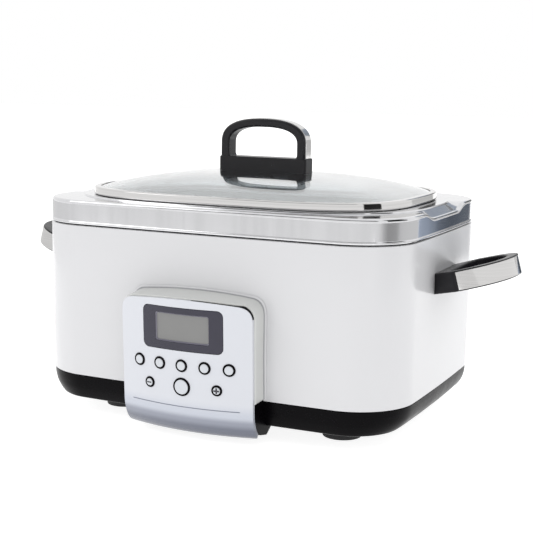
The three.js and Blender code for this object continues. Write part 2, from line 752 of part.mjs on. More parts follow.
// ---------------------------------------------------------------- pot
add('pot_bowl', loft([
  well(121, 79.5, potBottom + potWall),
  well(130.5, 89, 72),
  well(134, 92.5, 83),
  well(140, 99, plateauTop - 1.2 - gap),
  at(superPlan(155, 108.5, 3), plateauTop - 1.2 - gap),
  at(superPlan(155, 108.5, 3), plateauTop - 3.7),
  well(145, 103.5, plateauTop - 3.7),
  well(143.5, 102.3, 184),
  well(137, 95.5, 82),
  well(133, 91.5, 69.5),
  well(122, 80.5, potBottom),
]), potCoating);

// Both short ends of the rim dip in the middle to give the fingers a hold.
function dipped(ring, share) {
  return ring.map(({ x, y, z }) => {
    const away = THREE.MathUtils.smoothstep(Math.abs(y), dipFlat, dipEnd);
    const dip = Math.abs(x) > halfLength / 2 ? dipDepth * (1 - away) * share : 0;
    return new THREE.Vector3(x, y, z - dip);
  });
}

const rimSheet = 1.2;
add('pot_rim', loft([
  body(0.7, skirtBottom),
  body(0, skirtBottom + 0.9),
  dipped(body(0, rimEdge - 2.4), 1),
  dipped(body(0.8, rimEdge - 0.6), 1),
  dipped(body(2.6, rimEdge), 1),
  at(superPlan(160.5, 114, 3), rimEdge + 0.1),
  at(superPlan(158.5, 112, 3), plateauTop),
  well(140, 99, plateauTop),
  well(138.5, 97.5, plateauTop - 1.2),
  well(138.5, 97.5, plateauTop - 3),
  well(139.7, 98.7, plateauTop - 3),
  well(139.7, 98.7, plateauTop - rimSheet),
  at(superPlan(158, 111.5, 3), plateauTop - rimSheet),
  at(superPlan(160, 113.5, 3), rimEdge - rimSheet),
  dipped(body(3, rimEdge - rimSheet), 1),
  dipped(body(rimSheet, rimEdge - 2.6), 1),
  body(rimSheet, skirtBottom + rimSheet),
  body(5, skirtBottom + rimSheet),
  body(5, skirtBottom),
], true), polishedSteel);

// ---------------------------------------------------------------- lid
const lidPlan = (length, depth, z) => at(superPlan(length, depth, 3.3), z);
const bandFootZ = plateauTop + gap;
add('lid_band', loft([
  lidPlan(138, 98, bandFootZ),
  lidPlan(147.2, 107, bandFootZ),
  lidPlan(148, 108, bandFootZ + 0.9),
  lidPlan(147.6, 107.4, bandFootZ + 4.2),
  lidPlan(145.8, 105.4, glassEdgeTop + 1.4),
  lidPlan(142.4, 101.6, glassEdgeTop + 1.6),
  lidPlan(142.4, 101.6, glassEdgeTop + 1),
  lidPlan(lidLength + 0.5, lidDepth + 0.5, glassEdgeTop + 0.8),
  lidPlan(lidLength + 0.5, lidDepth + 0.5, bandFootZ + 1),
  lidPlan(138, 98, bandFootZ + 1),
], true), polishedSteel);

const domeRise = glassApex - glassEdgeTop;
const domeShares = [1, 0.93, 0.8, 0.63, 0.45, 0.25];
const domeHeight = (share) => glassEdgeTop + domeRise * (1 - share ** domePower);
const domeRing = (share, drop) => lidPlan(lidLength * share, lidDepth * share, domeHeight(share) - drop);
const dome = (top, bottom) => loft([
  ...domeShares.toReversed().map((share) => domeRing(share, bottom)),
  ...domeShares.map((share) => domeRing(share, top)),
]);
const lidScrewHoles = [-lidScrewX, lidScrewX].map((x) => rod(2.3, 180, 222, 10).translate(x, 0, 0));
add('lid_glass', cut(dome(0, glassThickness), ...lidScrewHoles), clearGlass);

// Half-arch outline in x and z.
function archPoints(width, height, steps) {
  return Array.from({ length: steps + 1 }, (_, i) => {
    const angle = (i / steps) * Math.PI;
    const [c, s] = [Math.cos(angle), Math.sin(angle)];
    const x = width * Math.sign(c) * Math.abs(c) ** (2 / archPower);
    return [x, archBase + height * Math.abs(s) ** (2 / archPower)];
  });
}

const loopFoot = 218;
const blockTop = handleBlock.top;
const loopShape = outline([
  [archWidth, loopFoot], ...archPoints(archWidth, archHeight, 16), [-archWidth, loopFoot],
]);
loopShape.holes.push(outline([
  [holeWidth - 3, blockTop], [holeWidth, blockTop + 3], ...archPoints(holeWidth, holeHeight, 12),
  [-holeWidth, blockTop + 3], [-holeWidth + 3, blockTop],
]));
function stripShape(outer, inner) {
  const foot = blockTop + gap;
  return outline([
    [archWidth + outer, foot], ...archPoints(archWidth + outer, archHeight + outer, 16),
    [-archWidth - outer, foot], [-archWidth + inner, foot],
    ...archPoints(archWidth - inner, archHeight - inner, 16).reverse(), [archWidth - inner, foot],
  ]);
}
const { width: blockWidth, depth: blockDepth } = handleBlock;
const block = box(-blockWidth, blockWidth, -blockDepth, blockDepth, 209, blockTop);
const stripDepth = 5.6;
const stripProud = 0.5;
const stripInner = stripThickness - stripProud;
const handleHoles = [-lidScrewX, lidScrewX].map((x) => rod(2.1, 200, 221, 10).translate(x, 0, 0));
add('lid_handle', cut(
  join(block, prism(loopShape, 'Y', -handleDepth, handleDepth)),
  prism(stripShape(5, stripInner + gap), 'Y', -stripDepth - gap, stripDepth + gap),
  dome(-gap, 40),
  ...handleHoles,
), blackPlastic);
const lidStrip = prism(stripShape(stripProud, stripInner), 'Y', -stripDepth, stripDepth);
add('lid_handle_strip', lidStrip, polishedSteel);

[-lidScrewX, lidScrewX].forEach((x, i) => {
  const underside = 206.6;
  const washer = turned([[2.2, 0], [7.5, 0], [7.5, 1.2], [2.2, 1.2], [2.2, 0]], 16);
  add(`lid_washer_${i + 1}`, washer, blackRubber).position.set(x, 0, underside - gap - 1.2);
  const screw = add(`lid_screw_${i + 1}`, bevelledScrew(5, 1.8, 1.8, 16), stampedSteel);
  screw.position.set(x, 0, underside - 2 * gap - 3);
});

// The origin is on the table, at the middle of the overall depth.
const frontReach = -panelFront + faceTop * Math.sin(panelLean);
cooker.position.y = (frontReach - halfDepth) / 2;

export default cooker;
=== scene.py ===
"""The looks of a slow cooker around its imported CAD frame.

Shapes are drawn in millimetres with the body centred on the Z axis, then scaled to metres and
moved by the CAD body's own offset. +X is the long side, -Y the side with the control panel.
"""

import json
import math

import bmesh
import bpy
import numpy as np
from mathutils import Matrix, Vector
from mathutils.geometry import delaunay_2d_cdt


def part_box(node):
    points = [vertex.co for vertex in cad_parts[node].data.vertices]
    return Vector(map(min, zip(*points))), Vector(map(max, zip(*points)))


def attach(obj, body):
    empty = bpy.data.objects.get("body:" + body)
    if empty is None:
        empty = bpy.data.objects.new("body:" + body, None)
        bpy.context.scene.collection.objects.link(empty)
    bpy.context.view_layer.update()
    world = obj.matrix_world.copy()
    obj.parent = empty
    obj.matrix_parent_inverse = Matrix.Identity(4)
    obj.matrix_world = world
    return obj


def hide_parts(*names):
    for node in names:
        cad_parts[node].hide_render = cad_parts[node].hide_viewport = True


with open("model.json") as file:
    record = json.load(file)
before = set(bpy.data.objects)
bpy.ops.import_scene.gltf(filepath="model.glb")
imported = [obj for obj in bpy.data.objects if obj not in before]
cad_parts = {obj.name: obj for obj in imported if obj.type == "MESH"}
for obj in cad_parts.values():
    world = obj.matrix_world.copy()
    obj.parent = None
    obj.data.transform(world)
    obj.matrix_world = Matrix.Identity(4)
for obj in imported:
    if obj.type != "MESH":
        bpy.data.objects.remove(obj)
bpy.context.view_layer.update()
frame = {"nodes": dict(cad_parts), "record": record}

MM = 0.001
shell_low, shell_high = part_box("outer_shell")
BODY_Y = (shell_low.y + shell_high.y) / 2

# ------------------------------------------------------------------ dimensions, in millimetres
HALF_LENGTH = 170
HALF_DEPTH = 124.7
CORNER_RADIUS = 48.4
SIDE_BULGE = 2.8
CORNER_STEPS = 18
SIDE_STEPS = 26

BASE_BOTTOM = 14.3
SHELL_BOTTOM = 36.4
SHELL_TOP = 167.5
SHELL_FOOT_DEPTH = 123.1
SHELL_WALL = 2
BASE_FOOT = (157.8, 115.9)
FOOT_PLACE = (106.1, 66.5)
GLAND_X = 96
GLAND_Z = 26.5
SKIRT_BOTTOM = 168.5
RIM_EDGE = 188.8
PLATEAU_TOP = 190
POT_BOTTOM = 62.2
POT_WALL = 3
POT_POWER = 3.4
DIP_DEPTH = 5.6
DIP_FLAT = 33
DIP_END = 56

LID_LENGTH = 144.5
LID_DEPTH = 103.5
GLASS_THICKNESS = 3.8
GLASS_EDGE = 195.4
GLASS_APEX = 211.3
DOME_POWER = 2.8
LID_POWER = 3.3

PANEL_ORIGIN = Vector((0, -151.6, 60))
PANEL_LEAN = 0.04
FACE_RADIUS = 211.6
FACE_WIDTH = 59.6
FACE_TOP = 59
FACE_SHOULDER = (47, 56.6)
FACE_SIDE = 44
FACE_THICKNESS = 3
CHIN_TOP = -30
CHIN_DROP = 25.2
CHIN_SETBACK = 16.5
CHIN_TURN = 0.86 * math.pi / 2
CHIN_LENGTH = 31.0
CHIN_CORNER = 9
BEZEL = (36.3, 17.2, 52.2)
OPENING = (24.2, 23.8, 47)

# each button is its name, its place across and up the panel, and its radius
FUNCTION_ROW = [-41, -20.5, 0, 20.5, 41]
SIGN_X = 30.7
LOWER_ROW = -12.6
BUTTONS = [(f"function_button_{i + 1}", x, 5, 4.5) for i, x in enumerate(FUNCTION_ROW)]
BUTTONS += [("minus_button", -SIGN_X, LOWER_ROW, 3.8), ("start_button", 0, LOWER_ROW, 6.9)]
BUTTONS += [("plus_button", SIGN_X, LOWER_ROW, 3.8)]
BUTTON_GAP = 0.85
BUTTON_PROUD = 1.3
BUTTON_COLLAR = 0.85
STEM_REACH = 11.9


# ------------------------------------------------------------------ materials
def srgb(red, green, blue):
    """A colour given as 0-255 sRGB values."""
    def linear(value):
        value /= 255
        return value / 12.92 if value <= 0.04045 else ((value + 0.055) / 1.055) ** 2.4

    return (linear(red), linear(green), linear(blue), 1.0)


class Surface:
    """A node material made step by step around one Principled shader."""

    def __init__(self, name, color, roughness, metallic=0.0, **sockets):
        self.material = bpy.data.materials.new(name)
        self.material.use_nodes = True
        self.nodes = self.material.node_tree.nodes
        self.links = self.material.node_tree.links
        self.shader = self.nodes["Principled BSDF"]
        self.shader.inputs["Base Color"].default_value = color
        self.shader.inputs["Roughness"].default_value = roughness
        self.shader.inputs["Metallic"].default_value = metallic
        for socket, value in sockets.items():
            self.shader.inputs[socket.replace("_", " ")].default_value = value
        self.color = color
        self.roughness = roughness

    def noise(self, scale, stretch=(1, 1, 1), detail=3.0):
        place = self.nodes.new("ShaderNodeTexCoord")
        mapping = self.nodes.new("ShaderNodeMapping")
        mapping.inputs["Scale"].default_value = stretch
        texture = self.nodes.new("ShaderNodeTexNoise")
        texture.inputs["Scale"].default_value = scale
        texture.inputs["Detail"].default_value = detail
        self.links.new(place.outputs["Object"], mapping.inputs["Vector"])
        self.links.new(mapping.outputs["Vector"], texture.inputs["Vector"])
        return texture.outputs["Fac"]

    def mapped(self, source, low, high, start=0.3, end=0.7):
        node = self.nodes.new("ShaderNodeMapRange")
        node.inputs["From Min"].default_value = start
        node.inputs["From Max"].default_value = end
        node.inputs["To Min"].default_value = low
        node.inputs["To Max"].default_value = high
        self.links.new(source, node.inputs["Value"])
        return node.outputs["Result"]

    def height(self, low, high):
        """0 below the height low and 1 above high, in metres."""
        place = self.nodes.new("ShaderNodeTexCoord")
        split = self.nodes.new("ShaderNodeSeparateXYZ")
        self.links.new(place.outputs["Object"], split.inputs["Vector"])
        return self.mapped(split.outputs["Z"], 0.0, 1.0, low, high)

    def tint(self, source, stops, socket="Base Color"):
        """Colours the surface by a ramp of (position, colour) stops."""
        ramp = self.nodes.new("ShaderNodeValToRGB")
        ramp.color_ramp.interpolation = "EASE"
        elements = ramp.color_ramp.elements
        while len(elements) < len(stops):
            elements.new(0.5)
        for element, (position, color) in zip(elements, stops):
            element.position = position
            element.color = color
        self.links.new(source, ramp.inputs["Fac"])
        self.links.new(ramp.outputs["Color"], self.shader.inputs[socket])
        return self

    def mottle(self, source, spread):
        """Lets the base colour drift lighter and darker by the given share."""
        dark = tuple(c * (1 - spread) for c in self.color[:3]) + (1.0,)
        light = tuple(min(c * (1 + spread), 1.0) for c in self.color[:3]) + (1.0,)
        return self.tint(source, [(0.3, dark), (0.7, light)])

    def polish(self, source, spread):
        low, high = self.roughness * (1 - spread), self.roughness * (1 + spread)
        self.links.new(self.mapped(source, low, high), self.shader.inputs["Roughness"])
        return self

    def bump(self, source, distance):
        """Raises the surface by up to the given distance in millimetres."""
        node = self.nodes.new("ShaderNodeBump")
        node.inputs["Distance"].default_value = distance * MM
        self.links.new(source, node.inputs["Height"])
        self.links.new(node.outputs["Normal"], self.shader.inputs["Normal"])
        return self


def moulded(name, color, roughness, grain=900, depth=0.01, drift=0.05, **sockets):
    """Moulded plastic or rubber: a fine grain and a slow drift in colour and gloss."""
    surface = Surface(name, color, roughness, **sockets)
    surface.mottle(surface.noise(35), drift)
    surface.polish(surface.noise(60), 0.15)
    return surface.bump(surface.noise(grain, detail=2.0), depth).material


def brushed(name, color, roughness, lines=(4, 4, 900), depth=0.002, spread=0.12):
    """Steel or aluminium finished along one direction."""
    surface = Surface(name, color, roughness, 1.0)
    grain = surface.noise(1.0, lines, 4.0)
    surface.mottle(grain, spread * 0.35)
    surface.polish(grain, spread)
    return surface.bump(grain, depth).material


def enamel():
    surface = Surface("white_enamel", srgb(205, 205, 207), 0.2, Coat_Weight=0.2)
    surface.shader.inputs["Coat Roughness"].default_value = 0.08
    surface.mottle(surface.noise(6), 0.006)
    surface.polish(surface.noise(25), 0.12)
    return surface.bump(surface.noise(260, detail=1.0), 0.006).material


def silver_with_painted_chin_shade():
    surface = Surface("silver_with_painted_chin_shade", srgb(200, 202, 208), 0.22, 0.12, Coat_Weight=0.4)
    surface.shader.inputs["Coat Roughness"].default_value = 0.06
    # Painted shade: the base colour darkens from silver to blue-grey towards the bottom of the chin,
    # standing in for the shade and dark reflection where the face turns down.
    surface.tint(surface.height(0.008, 0.038), [
        (0.0, srgb(72, 77, 93)),
        (0.2, srgb(94, 98, 112)),
        (0.42, srgb(136, 140, 152)),
        (0.62, srgb(184, 188, 198)),
        (1.0, srgb(200, 202, 208)),
    ])
    surface.polish(surface.noise(40), 0.15)
    return surface.bump(surface.noise(420, detail=1.0), 0.002).material


def clear_glass():
    surface = Surface("lid_glass", (0.92, 0.975, 1.0, 1.0), 0.02, IOR=1.5, Coat_Weight=1.0,
                      Coat_IOR=1.8, Coat_Roughness=0.01)
    surface.shader.inputs["Transmission Weight"].default_value = 1.0
    surface.polish(surface.noise(12), 0.5)
    return surface.bump(surface.noise(9, detail=1.0), 0.05).material


def solder_mask():
    surface = Surface("circuit_board", srgb(34, 84, 52), 0.45)
    surface.mottle(surface.noise(700, (1, 1, 1), 1.0), 0.3)
    return surface.bump(surface.noise(700), 0.03).material


LOOKS = {
    "shell_enamel": enamel(),
    "panel_white": moulded("panel_white", srgb(200, 201, 199), 0.22, 500, 0.003, 0.012),
    "panel_silver": silver_with_painted_chin_shade(),
    "display_bezel": moulded("display_bezel", srgb(37, 35, 51), 0.25, 700, 0.002),
    "display_glass": moulded("display_glass", srgb(122, 122, 121), 0.14, 1200, 0.001, 0.02),
    "button_caps": moulded("button_caps", srgb(197, 200, 205), 0.28, 900, 0.002, 0.02),
    "black_plastic": moulded("black_plastic", srgb(19, 18, 22), 0.3, 1400, 0.008,
                             Specular_IOR_Level=0.3),
    "rubber": moulded("rubber", srgb(20, 20, 22), 0.65, 800, 0.02),
    "polished_steel": brushed("polished_steel", srgb(212, 211, 210), 0.07),
    "stamped_steel": brushed("stamped_steel", srgb(190, 191, 193), 0.34, (40, 40, 500), 0.004, 0.25),
    "cast_aluminium": moulded("cast_aluminium", srgb(176, 178, 181), 0.45, 1500, 0.05, Metallic=1.0),
    "pot_coating": moulded("pot_coating", srgb(226, 225, 222), 0.3, 1800, 0.01, 0.01),
    "lid_glass": clear_glass(),
    "circuit_board": solder_mask(),
    "lead_sleeve": moulded("lead_sleeve", srgb(120, 121, 126), 0.5, 600, 0.01),
}
rim_steel = brushed("rim_steel", srgb(220, 220, 222), 0.1, (90, 90, 3), 0.004, 0.1)
glyph_ink = moulded("glyph_ink", srgb(34, 33, 42), 0.4)
# Painted highlight: a lighter grey for the chamfer round the display opening, standing in for the
# light it catches.
painted_lip_highlight = moulded("painted_lip_highlight", srgb(112, 110, 122), 0.2)
# Painted shadow: a darker grey for the bead along the surround's junction with the body, standing in
# for the contact shadow there.
painted_crease_shadow = moulded("painted_crease_shadow", srgb(150, 151, 154), 0.4)
# Painted shade: the blue-grey fill behind the face's groove stands in for the shade inside it.
painted_groove_shade = moulded("painted_groove_shade", srgb(128, 132, 146), 0.4)
# Near-black plastic; the gap sheet and the button collars also use it as painted shade.
base_black = moulded("base_black", srgb(6, 5, 7), 0.28, 1400, 0.006, Specular_IOR_Level=0.06)

for item in frame["record"]["subparts"]:
    look = LOOKS[item["material_slot"]]
    mesh = frame["nodes"][item["node"]].data
    mesh.materials.clear()
    mesh.materials.append(look)
    mesh.shade_smooth()
    mesh.set_sharp_from_angle(angle=math.radians(32))


# ------------------------------------------------------------------ mesh helpers
def finished(mesh, sharp):
    """Turns the faces outwards and marks edges above an angle in degrees as sharp."""
    work = bmesh.new()
    work.from_mesh(mesh)
    bmesh.ops.recalc_face_normals(work, faces=work.faces)
    work.to_mesh(mesh)
    work.free()
    mesh.shade_smooth()
    mesh.set_sharp_from_angle(angle=math.radians(sharp))


pieces = []


def add_piece(name, points, faces, body, slot, replaced=(), sharp=35, look=None):
    """Makes an object from points in millimetres, parents it to its body, gives it the look of its
    slot unless another look is given, and hides the CAD nodes it replaces.
    """
    metres = np.asarray(points, float) * MM
    metres[:, 1] += BODY_Y
    mesh = bpy.data.meshes.new(name)
    mesh.from_pydata(metres.tolist(), [], faces)
    finished(mesh, sharp)
    mesh.materials.append(look or LOOKS[slot])
    piece = bpy.data.objects.new(name, mesh)
    bpy.context.scene.collection.objects.link(piece)
    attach(piece, body)
    if replaced:
        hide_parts(*replaced)
    pieces.append(piece)
    return piece


def bevel(piece, width):
    """Rounds a piece's sharp edges by a width in millimetres."""
    modifier = piece.modifiers.new("edge", "BEVEL")
    modifier.width = width * MM
    modifier.segments = 3
    modifier.limit_method = "ANGLE"
    modifier.angle_limit = math.radians(40)
    modifier.miter_outer = "MITER_ARC"


def loft(rings, closed):
    """Points and faces of a skin over rings; an open one is capped at both ends."""
    count = len(rings[0])
    points = [tuple(p) for ring in rings for p in ring]
    faces = []
    for band in range(len(rings) if closed else len(rings) - 1):
        here, there = band * count, ((band + 1) % len(rings)) * count
        for i in range(count):
            after = (i + 1) % count
            faces.append((here + i, here + after, there + after, there + i))
    if not closed:
        for start, ring in ((0, rings[0]), ((len(rings) - 1) * count, rings[-1])):
            points.append(tuple(np.mean(ring, axis=0)))
            hub = len(points) - 1
            for i in range(count):
                faces.append((start + i, start + (i + 1) % count, hub))
    return points, faces


def toward(ring, other, distance):
    """Moves a ring towards another by a distance, and by less than half of the way."""
    step = other - ring
    length = np.linalg.norm(step, axis=1, keepdims=True)
    share = np.minimum(distance / np.maximum(length, 1e-9), 0.48)
    return ring + step * share


def rounded(rings, steps=4, closed=True):
    """Takes (ring, radius) pairs and rounds the section at each ring that has a radius."""
    result = []
    last = len(rings) - 1
    for i, (ring, radius) in enumerate(rings):
        if radius == 0 or (not closed and i in (0, last)):
            result.append(ring)
            continue
        before = toward(ring, rings[i - 1][0], radius)
        after = toward(ring, rings[(i + 1) % len(rings)][0], radius)
        for k in range(steps + 1):
            t = k / steps
            result.append((1 - t) ** 2 * before + 2 * t * (1 - t) * ring + t ** 2 * after)
    return result


def flowing(rings, steps):
    """Runs a smooth curve through rings."""
    padded = [2 * rings[0] - rings[1], *rings, 2 * rings[-1] - rings[-2]]
    result = [rings[0]]
    for i in range(1, len(padded) - 2):
        a, b, c, d = padded[i - 1:i + 3]
        for k in range(1, steps + 1):
            t = k / steps
            result.append(0.5 * (2 * b + (c - a) * t + (2 * a - 5 * b + 4 * c - d) * t * t
                                 + (3 * b - a - 3 * c + d) * t ** 3))
    return result


def turned(profile, segments=48):
    """Rings of a profile of (radius, height, rounding) spun about Z, with ends on the axis."""
    angles = np.linspace(0, 2 * math.pi, segments, endpoint=False)
    rings = []
    for radius, height, rounding in profile:
        ring = np.stack([radius * np.cos(angles), radius * np.sin(angles),
                         np.full(segments, float(height))], axis=1)
        rings.append((ring, rounding))
    return rings


def slab(outline, holes, depth, edge):
    """A flat shape in x and y with rounded edges, centred on z = 0, from a filled 2D curve."""
    curve = bpy.data.curves.new("slab", "CURVE")
    curve.dimensions = "2D"
    curve.fill_mode = "BOTH"
    curve.extrude = (depth / 2 - edge) * MM
    curve.bevel_depth = edge * MM
    curve.bevel_resolution = 3
    curve.offset = -edge * MM
    for loop in (outline, *holes):
        spline = curve.splines.new("POLY")
        spline.points.add(len(loop) - 1)
        spline.use_cyclic_u = True
        for point, (x, y) in zip(spline.points, loop):
            point.co = (x * MM, y * MM, 0, 1)
    carrier = bpy.data.objects.new("slab", curve)
    bpy.context.scene.collection.objects.link(carrier)
    evaluated = carrier.evaluated_get(bpy.context.evaluated_depsgraph_get())
    mesh = bpy.data.meshes.new_from_object(evaluated)
    bpy.data.objects.remove(carrier)
    bpy.data.curves.remove(curve)
    work = bmesh.new()
    work.from_mesh(mesh)
    bmesh.ops.remove_doubles(work, verts=work.verts, dist=1e-6)
    work.verts.index_update()
    points = np.array([v.co for v in work.verts]) / MM
    faces = [tuple(v.index for v in face.verts) for face in work.faces]
    work.free()
    bpy.data.meshes.remove(mesh)
    return points, faces


# ------------------------------------------------------------------ plans
def body_plan(length, depth):
    """A rounded rectangle with bowed sides."""
    radius = max(CORNER_RADIUS - (HALF_LENGTH - length), 6)
    signs = [(1, 1), (-1, 1), (-1, -1), (1, -1)]

    def on_corner(quarter, share):
        sx, sy = signs[quarter % 4]
        angle = (quarter + share) * math.pi / 2
        return np.array([sx * (length - radius) + radius * math.cos(angle),
                         sy * (depth - radius) + radius * math.sin(angle)])

    points = []
    for quarter in range(4):
        points += [on_corner(quarter, i / CORNER_STEPS) for i in range(CORNER_STEPS + 1)]
        start, end = on_corner(quarter, 1), on_corner(quarter + 1, 0)
        points += [start + (end - start) * i / SIDE_STEPS for i in range(1, SIDE_STEPS)]
    plan = np.array(points)
    x, y = plan[:, 0].copy(), plan[:, 1].copy()
    plan[:, 0] -= np.sign(x) * SIDE_BULGE * (y / depth) ** 2
    plan[:, 1] -= np.sign(y) * SIDE_BULGE * (x / length) ** 2
    return plan


reference_plan = body_plan(HALF_LENGTH, HALF_DEPTH)
PLAN_ANGLES = np.arctan2(reference_plan[:, 1], reference_plan[:, 0])


def super_plan(length, depth, power=POT_POWER):
    """A superellipse with a point in the direction of each point of the body plan."""
    c, s = np.cos(PLAN_ANGLES), np.sin(PLAN_ANGLES)
    radius = (np.abs(c / length) ** power + np.abs(s / depth) ** power) ** (-1 / power)
    return np.stack([radius * c, radius * s], axis=1)


def at(plan, z):
    return np.column_stack([plan, np.full(len(plan), float(z))])


def body_ring(inset, z):
    return at(body_plan(HALF_LENGTH - inset, HALF_DEPTH - inset), z)


def shell_foot(inset, z):
    return at(body_plan(HALF_LENGTH - inset, SHELL_FOOT_DEPTH - inset), z)


def well(length, depth, z, power=POT_POWER):
    return at(super_plan(length, depth, power), z)


# ------------------------------------------------------------------ body
outer = flowing([shell_foot(0, SHELL_BOTTOM + 1.2), body_ring(0, 70), body_ring(0, 110),
                 body_ring(0, SHELL_TOP - 1)], 6)
inner = [body_ring(SHELL_WALL, SHELL_TOP), body_ring(SHELL_WALL, 70),
         shell_foot(SHELL_WALL, SHELL_BOTTOM)]
shell_rings = [(shell_foot(0, SHELL_BOTTOM), 0.9)] + [(ring, 0) for ring in outer]
shell_rings += [(body_ring(0, SHELL_TOP - 0.4), 0.5)] + [(ring, 0) for ring in inner]
add_piece("shell", *loft(rounded(shell_rings), True), "base", "shell_enamel", ["outer_shell"])

base_side = flowing([at(body_plan(169.4, 122.7), 35.0), at(body_plan(168.9, 122.3), 30),
                     at(body_plan(167, 121.1), 24), at(body_plan(163.2, 118.9), 18.5),
                     at(body_plan(BASE_FOOT[0] + 1.6, BASE_FOOT[1] + 1.3), 15.2)], 5)
base_rings = [(at(body_plan(169.4, 122.7), SHELL_BOTTOM - 0.3), 0.6)]
base_rings += [(ring, 0) for ring in base_side]
base_rings += [(at(body_plan(*BASE_FOOT), BASE_BOTTOM), 0.8)]
base_rings += [(at(body_plan(length, depth), z), 0) for length, depth, z in [
    (155.2, 113.3, 14.3), (155.6, 113.7, 17.1), (130, 88, 17.1), (130, 88, 19.6),
    (161, 116.4, 19.6), (164.4, 118.5, 24), (165, 118.4, 44), (167.4, 120.6, 44),
    (167.4, 120.6, SHELL_BOTTOM - 0.3)]]
add_piece("base", *loft(rounded(base_rings), True), "base", "black_plastic", ["base_skirt"],
          35, base_black)

seat_rings = [(body_ring(2.3, 164.8), 0.5), (body_ring(2.3, 168.2), 0.5),
              (well(153, 111, 168.2), 0.8), (well(153, 111, 164.8), 0.5)]
add_piece("seat", *loft(rounded(seat_rings), True), "base", "black_plastic", ["rim_seat"])

heater_rings = [(well(134, 92, 49), 0), (well(141, 99, 55), 5), (well(143, 101, 66), 5),
                (well(149.5, 107.5, 164.5), 1), (body_ring(4, 164.5), 0), (body_ring(4, 163.5), 0),
                (well(150.5, 108.5, 163.5), 1), (well(144, 102, 66), 5),
                (well(142, 100, 54.5), 5), (well(135, 93, 48), 0)]
hole = at(super_plan(12, 12, 2), 0)
heater_rings = [(hole + (0, 0, 48), 0), (hole + (0, 0, 49), 0)] + heater_rings
add_piece("heater_pan", *loft(rounded(heater_rings), True), "base", "stamped_steel",
          ["heater_well"])

plate_rings = [(hole + (0, 0, 49.3), 0), (well(112, 71, 49.3), 1), (well(118, 77, 53.3), 1),
               (well(118, 77, 61.9), 1.2), (hole + (0, 0, 61.9), 0.6)]
add_piece("hot_plate", *loft(rounded(plate_rings), True), "base", "cast_aluminium",
          ["heating_plate"])

for node, sx, sy in [("foot_rear_right", 1, 1), ("foot_rear_left", -1, 1),
                     ("foot_front_left", -1, -1), ("foot_front_right", 1, -1)]:
    rings = rounded(turned([(15, 0, 0), (16.6, 0, 1.8), (16, 14, 0)], 48), 5, False)
    points, faces = loft(rings, False)
    points = np.array(points) + (sx * FOOT_PLACE[0], sy * FOOT_PLACE[1], 0)
    add_piece(node.replace("foot", "rubber_foot"), points, faces, "base", "rubber", [node])

gland_rings = turned([(3.7, 0, 0), (6, 0, 0), (6, 7, 0.6), (9, 7, 0), (9, 9.5, 1.2),
                      (3.7, 9.5, 0.8)], 40)
points, faces = loft(rounded(gland_rings), True)
gland = np.array(points)[:, [0, 2, 1]] + (GLAND_X, HALF_DEPTH - 9.5, GLAND_Z)
add_piece("gland", gland, faces, "base", "black_plastic", ["cord_gland"])


# ------------------------------------------------------------------ pot
def dipped(ring):
    """Lowers the rim in the middle of both short ends."""
    ring = ring.copy()
    share = np.clip((np.abs(ring[:, 1]) - DIP_FLAT) / (DIP_END - DIP_FLAT), 0, 1)
    away = share * share * (3 - 2 * share)
    ends = np.abs(ring[:, 0]) > HALF_LENGTH / 2
    ring[:, 2] -= np.where(ends, DIP_DEPTH * (1 - away), 0)
    return ring


rim_rings = [
    (body_ring(0.9, SKIRT_BOTTOM), 0.3), (body_ring(0, SKIRT_BOTTOM + 0.2), 0.6),
    (body_ring(0, SKIRT_BOTTOM + 1.8), 0.5), (body_ring(0.5, SKIRT_BOTTOM + 2.4), 0.4),
    (dipped(body_ring(0.4, RIM_EDGE - 2.2)), 1.4), (dipped(body_ring(1.1, RIM_EDGE - 0.5)), 0.9),
    (dipped(body_ring(2.8, RIM_EDGE)), 1.2), (well(160.5, 114, RIM_EDGE + 0.1, 3), 0.3),
    (well(160.1, 113.6, PLATEAU_TOP, 3), 0.3), (well(140, 99, PLATEAU_TOP), 1.2),
    (well(138.5, 97.5, PLATEAU_TOP - 1.2), 0.4), (well(138.5, 97.5, PLATEAU_TOP - 3), 0),
    (well(139.7, 98.7, PLATEAU_TOP - 3), 0), (well(139.7, 98.7, PLATEAU_TOP - 1.2), 0),
    (well(158, 111.5, PLATEAU_TOP - 1.2, 3), 0), (well(160, 113.5, RIM_EDGE - 1.2, 3), 0),
    (dipped(body_ring(3, RIM_EDGE - 1.2)), 0), (dipped(body_ring(1.7, RIM_EDGE - 2.6)), 0),
    (body_ring(1.7, SKIRT_BOTTOM + 1.2), 0), (body_ring(5, SKIRT_BOTTOM + 1.2), 0),
    (body_ring(5, SKIRT_BOTTOM), 0)]
add_piece("rim", *loft(rounded(rim_rings), True), "pot", "polished_steel", ["pot_rim"], 50,
          rim_steel)

pot_floor = POT_BOTTOM + POT_WALL
bowl_rings = [(well(40, 26, pot_floor), 0), (well(121, 79.5, pot_floor), 7), (well(130.5, 89, 72), 5),
              (well(134, 92.5, 83), 5), (well(140, 99, 188.5), 1), (well(155, 108.5, 188.5, 3), 0.4),
              (well(155, 108.5, 186.3, 3), 0.4), (well(145, 103.5, 186.3), 1),
              (well(143.5, 102.3, 184), 1), (well(137, 95.5, 82), 5), (well(133, 91.5, 69.5), 5),
              (well(122, 80.5, POT_BOTTOM), 6), (well(40, 26, POT_BOTTOM), 0)]
add_piece("bowl", *loft(rounded(bowl_rings, 5, False), False), "pot", "pot_coating", ["pot_bowl"])


# ------------------------------------------------------------------ lid
def lid_ring(length, depth, z):
    return well(length, depth, z, LID_POWER)


